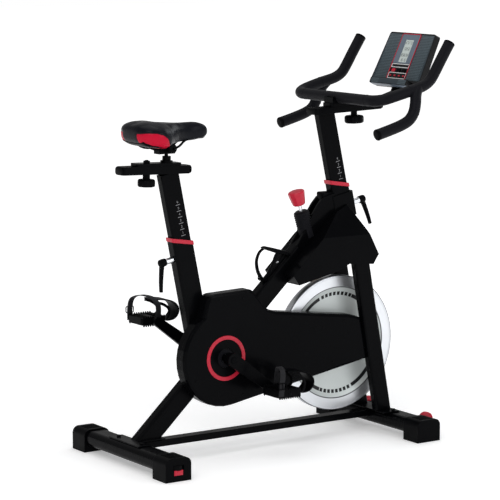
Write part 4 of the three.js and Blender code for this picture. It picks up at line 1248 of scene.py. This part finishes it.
def post_marks(name, foot, lean, body, half_deep, count, first):
    """A scale of marks and numbers up one side of a post."""
    up = Vector((-lean, 0, 1)).normalized()
    rear = Vector((-1, 0, -lean)).normalized()
    bm = bmesh.new()
    for i in range(count):
        for side in (-1, 1):
            middle = foot + up * (first + 0.019 * i)
            middle = middle + Vector((0, side * 0.01615, 0)) + rear * (half_deep - 0.038)
            basis = Matrix((rear, Vector((0, 1, 0)), up)).transposed()
            block(bm, middle, (0.015, 0.0004, 0.0016), 0.0, basis)
    piece(name + "_marks", bm, material("dim"), body, 30)
    for i in range(count):
        text = bpy.data.curves.new("number", "FONT")
        text.body = str(i + 1)
        text.size = 0.0105
        text.align_x = text.align_y = "CENTER"
        text.extrude = 0.0002
        holder = bpy.data.objects.new("number", text)
        bpy.context.scene.collection.objects.link(holder)
        bpy.context.view_layer.update()
        mesh = bpy.data.meshes.new_from_object(holder)
        bpy.data.objects.remove(holder)
        middle = foot + up * (first + 0.0085 + 0.019 * i) + Vector((0, -0.0162, 0))
        middle = middle + rear * (half_deep - 0.038)
        basis = Matrix((-rear, up, Vector((0, -1, 0)))).transposed()
        mesh.transform(Matrix.Translation(middle) @ basis.to_4x4())
        mesh.materials.clear()
        mesh.materials.append(material("dim"))
        obj = bpy.data.objects.new(f"{name}_number_{i + 1}", mesh)
        bpy.context.scene.collection.objects.link(obj)
        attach(obj, body)


def lever(name, place, lean, side, bush, drop, reach):
    """A clamp lever behind or ahead of a tube: steel bush, round head and tapered arm."""
    out = Vector((side, 0, side * lean)).normalized()
    face = place + out * 0.036
    bm = bmesh.new()
    ring = [(0, 0), (8.4, 0), (9.4, 1), (9.4, bush - 1), (8.4, bush), (0, bush)]
    lathe(bm, [(r / 1000, h / 1000) for r, h in ring], face, out, 28)
    piece(name + "_bush", bm, material("steel"), name, 30)
    bm = bmesh.new()
    head = [(0, 0), (9, 0), (11.4, 1.4), (12, 5), (12, 17), (10.6, 21.6), (7, 24), (0, 24.5)]
    start = face + out * (bush - 0.5) / 1000
    lathe(bm, [(r / 1000, h / 1000) for r, h in head], start, out, 28)
    top = start + out * 0.0125
    tip = top + Vector((side * reach, 0, -drop)) / 1000
    path = [top, top.lerp(tip, 0.3) + out * 0.0015, top.lerp(tip, 0.7) + out * 0.0015, tip]
    path = smooth_path(path, 6)
    scales = [1.25 - 0.4 * i / (len(path) - 1) for i in range(len(path))]
    sweep(bm, path, rounded(0.0068, 0.0056, 0.0044, 4), up=(1, 0, 0), scales=scales)
    piece(name + "_grip", bm, material("plastic"), name, 34, [name])


class BIKE_OT_posts(bpy.types.Operator):
    """Marks the posts' scales; adds weld beads, lever bushes, head sleeve and shroud shoulder"""

    bl_idname = "bike.posts"
    bl_label = "Posts"

    def execute(self, context):
        seat_foot = at(-117 + 0.2053 * (636 - 676), 0, 676)
        post_marks("seat_scale", seat_foot, 0.2053, "seat_post", 0.03175, 6, 0.0005)
        head_foot = at(454.4 + 0.2196 * (811 - 822), 0, 822)
        post_marks("head_scale", head_foot, 0.2196, "handlebar_post", 0.03025, 4, -0.013)

        lever("seat_lever", at(-117 + 0.2053 * (636 - 612), 0, 612), 0.2053, -1, 26, 88, 4)
        lever("head_lever", at(454.4 + 0.2196 * (811 - 722), 0, 722), 0.2196, 1, 35, 80, 34)

        # A moulded stop closes the joint behind the head tube.
        bm = bmesh.new()
        block(bm, at(416, 0, 752), (0.05, 0.034, 0.042), 0.005, segments=3)
        piece("head_stop", bm, material("cover"), "frame", 34)
        bm = bmesh.new()
        up = Vector((-0.2196, 0, 1)).normalized()
        ahead = Vector((1, 0, 0.2196)).normalized()
        middle = at(454.4 + 0.2196 * (811 - 727), 0, 727)
        outer, inner = rounded(0.0395, 0.026, 0.006), rounded(0.0334, 0.0214, 0.004)
        rings = [[bm.verts.new(middle + ahead * u + Vector((0, v, 0)) + up * w) for u, v in outline]
                 for outline, w in
                 ((outer, -0.039), (outer, 0.039), (inner, 0.039), (inner, -0.039))]
        for one, two in zip(rings, rings[1:] + rings[:1]):
            for k in range(len(one)):
                n = (k + 1) % len(one)
                bm.faces.new((one[k], one[n], two[n], two[k]))
        piece("head_sleeve", bm, material("cover"), "frame", 34)
        bm = bmesh.new()
        outline = [(0.43, 0.0), (0.63, 0.0), (0.64, 0.045), (0.6, 0.068), (0.57, 0.066),
                   (0.53, 0.057), (0.485, 0.044), (0.43, 0.0308)]
        lean = rad(43)

        def beside(u, v, w):
            out = u * math.cos(lean) - v * math.sin(lean)
            return at(out * 1000, w * 1000, 299 + (u * math.sin(lean) + v * math.cos(lean)) * 1000)

        for low, high in ((-0.0215, -0.011), (0.011, 0.0215)):
            slab(bm, outline, beside, low, high, 0.002)
        piece("shroud_shoulder", bm, material("cover"), "frame", 34)

        # Weld beads where the tubes meet.
        bm = bmesh.new()
        seat_joint = [(-116, 243.6), (-78, 277), (-40, 313), (-4, 347)]
        for side in (-1, 1):
            path = smooth_path([at(x, side * 21.3, z) for x, z in seat_joint], 14)
            wobble = [0.9 + 0.25 * abs(math.sin(i * 0.9)) for i in range(len(path))]
            sweep(bm, path, circle(0.0021, 8), scales=wobble)
        piece("weld_beads", bm, material("paint"), "frame", 60)
        return {"FINISHED"}


# ---- bottle cage ----


def cage_at(out, y, down):
    """A point out of the beam's upper side, across it, and down from the hoop's root."""
    lean = rad(43)
    x = 330 * math.cos(lean) - (31.55 + out) * math.sin(lean) + (60 - down) * math.cos(lean)
    z = 299 + 330 * math.sin(lean) + (31.55 + out) * math.cos(lean) + (60 - down) * math.sin(lean)
    return at(x, y, z)


class BIKE_OT_cage(bpy.types.Operator):
    """Moulds the bottle cage: strip, hoop, two arms and lip"""

    bl_idname = "bike.cage"
    bl_label = "Bottle cage"

    def execute(self, context):
        bm = bmesh.new()
        hoop = ((2.4, 2, -1), (9, 26, 3), (28, 41, 13), (54, 34, 28), (70, 12, 37), (71.5, 0, 37.5))
        arm = ((50, 37, 24), (50, 44, 46), (38, 44, 72), (20, 29, 96), (4, 8, 110))
        for side in (-1, 1):
            path = smooth_path([cage_at(o, side * y, d) for o, y, d in hoop], 7)
            scales = [1.9 - 0.8 * i / (len(path) - 1) for i in range(len(path))]
            sweep(bm, path, [(u * 1.5, v * 0.62) for u, v in circle(0.0042, 14)], up=None,
                  scales=scales)
            path = smooth_path([cage_at(o, side * y, d) for o, y, d in arm], 7)
            scales = [1.1 + 0.6 * i / (len(path) - 1) for i in range(len(path))]
            sweep(bm, path, circle(0.0036, 14), scales=scales)

        def strip(u, v, w):
            return cage_at(w * 1000, u * 1000, -v * 1000)

        slab(bm, rounded(0.0095, 0.061, 0.006, centre=(0, -0.056)), strip, 0.0003, 0.0036, 0.0008)
        slab(bm, rounded(0.008, 0.0045, 0.002, centre=(0, 0.001)), strip, 0.002, 0.0105, 0.0008)
        lip = smooth_path([cage_at(o, 0, d) for o, d in
                           ((1.8, 112), (6, 117), (12, 119), (17.5, 117),
                                                        (20, 112))], 4)
        sweep(bm, lip, band(0.018, 0.0034, 0.0014), up=cage_at(1, 0, 0) - cage_at(0, 0, 1))
        piece("cage_body", bm, material("plastic"), "frame", 34, ["bottle_cage"])
        bm = bmesh.new()
        for down in (38, 88):
            base = cage_at(3.4, 0, down)
            screw = [(0, 2.0), (3.0, 2.0), (4.4, 1.2), (4.4, -0.4), (0, -0.4)]
            lathe(bm, [(r / 1000, h / 1000) for r, h in screw], base,
                  cage_at(10, 0, down) - base, 20)
        piece("cage_screws", bm, material("steel"), "frame", 30)
        return {"FINISHED"}


class BIKE_PT_panel(bpy.types.Panel):
    """Lists the bike's sizes, colours and steps"""

    bl_idname = "BIKE_PT_panel"
    bl_label = "Exercise bike"
    bl_space_type = "VIEW_3D"
    bl_region_type = "UI"
    bl_category = "Bike"

    def draw(self, context):
        for group in (context.scene.bike_look, context.scene.bike_sizes):
            for name in group.__annotations__:
                self.layout.prop(group, name)
        for name in STEPS:
            self.layout.operator("bike." + name)


STEPS = ("stage", "finishes", "flywheel", "guard", "saddle", "handlebar", "console", "pedals",
         "brake", "feet", "posts", "cage")
CLASSES = (BikeLook, BikeSizes, BIKE_OT_stage, BIKE_OT_finishes, BIKE_OT_flywheel, BIKE_OT_guard,
           BIKE_OT_saddle, BIKE_OT_handlebar, BIKE_OT_console, BIKE_OT_pedals, BIKE_OT_brake,
           BIKE_OT_feet, BIKE_OT_posts, BIKE_OT_cage, BIKE_PT_panel)


def register():
    for cls in CLASSES:
        bpy.utils.register_class(cls)
    bpy.types.Scene.bike_look = PointerProperty(type=BikeLook)
    bpy.types.Scene.bike_sizes = PointerProperty(type=BikeSizes)


def unregister():
    del bpy.types.Scene.bike_sizes
    del bpy.types.Scene.bike_look
    for cls in reversed(CLASSES):
        bpy.utils.unregister_class(cls)


def main():
    register()
    for name in STEPS:
        getattr(bpy.ops.bike, name)()


if __name__ == "__main__":
    main()
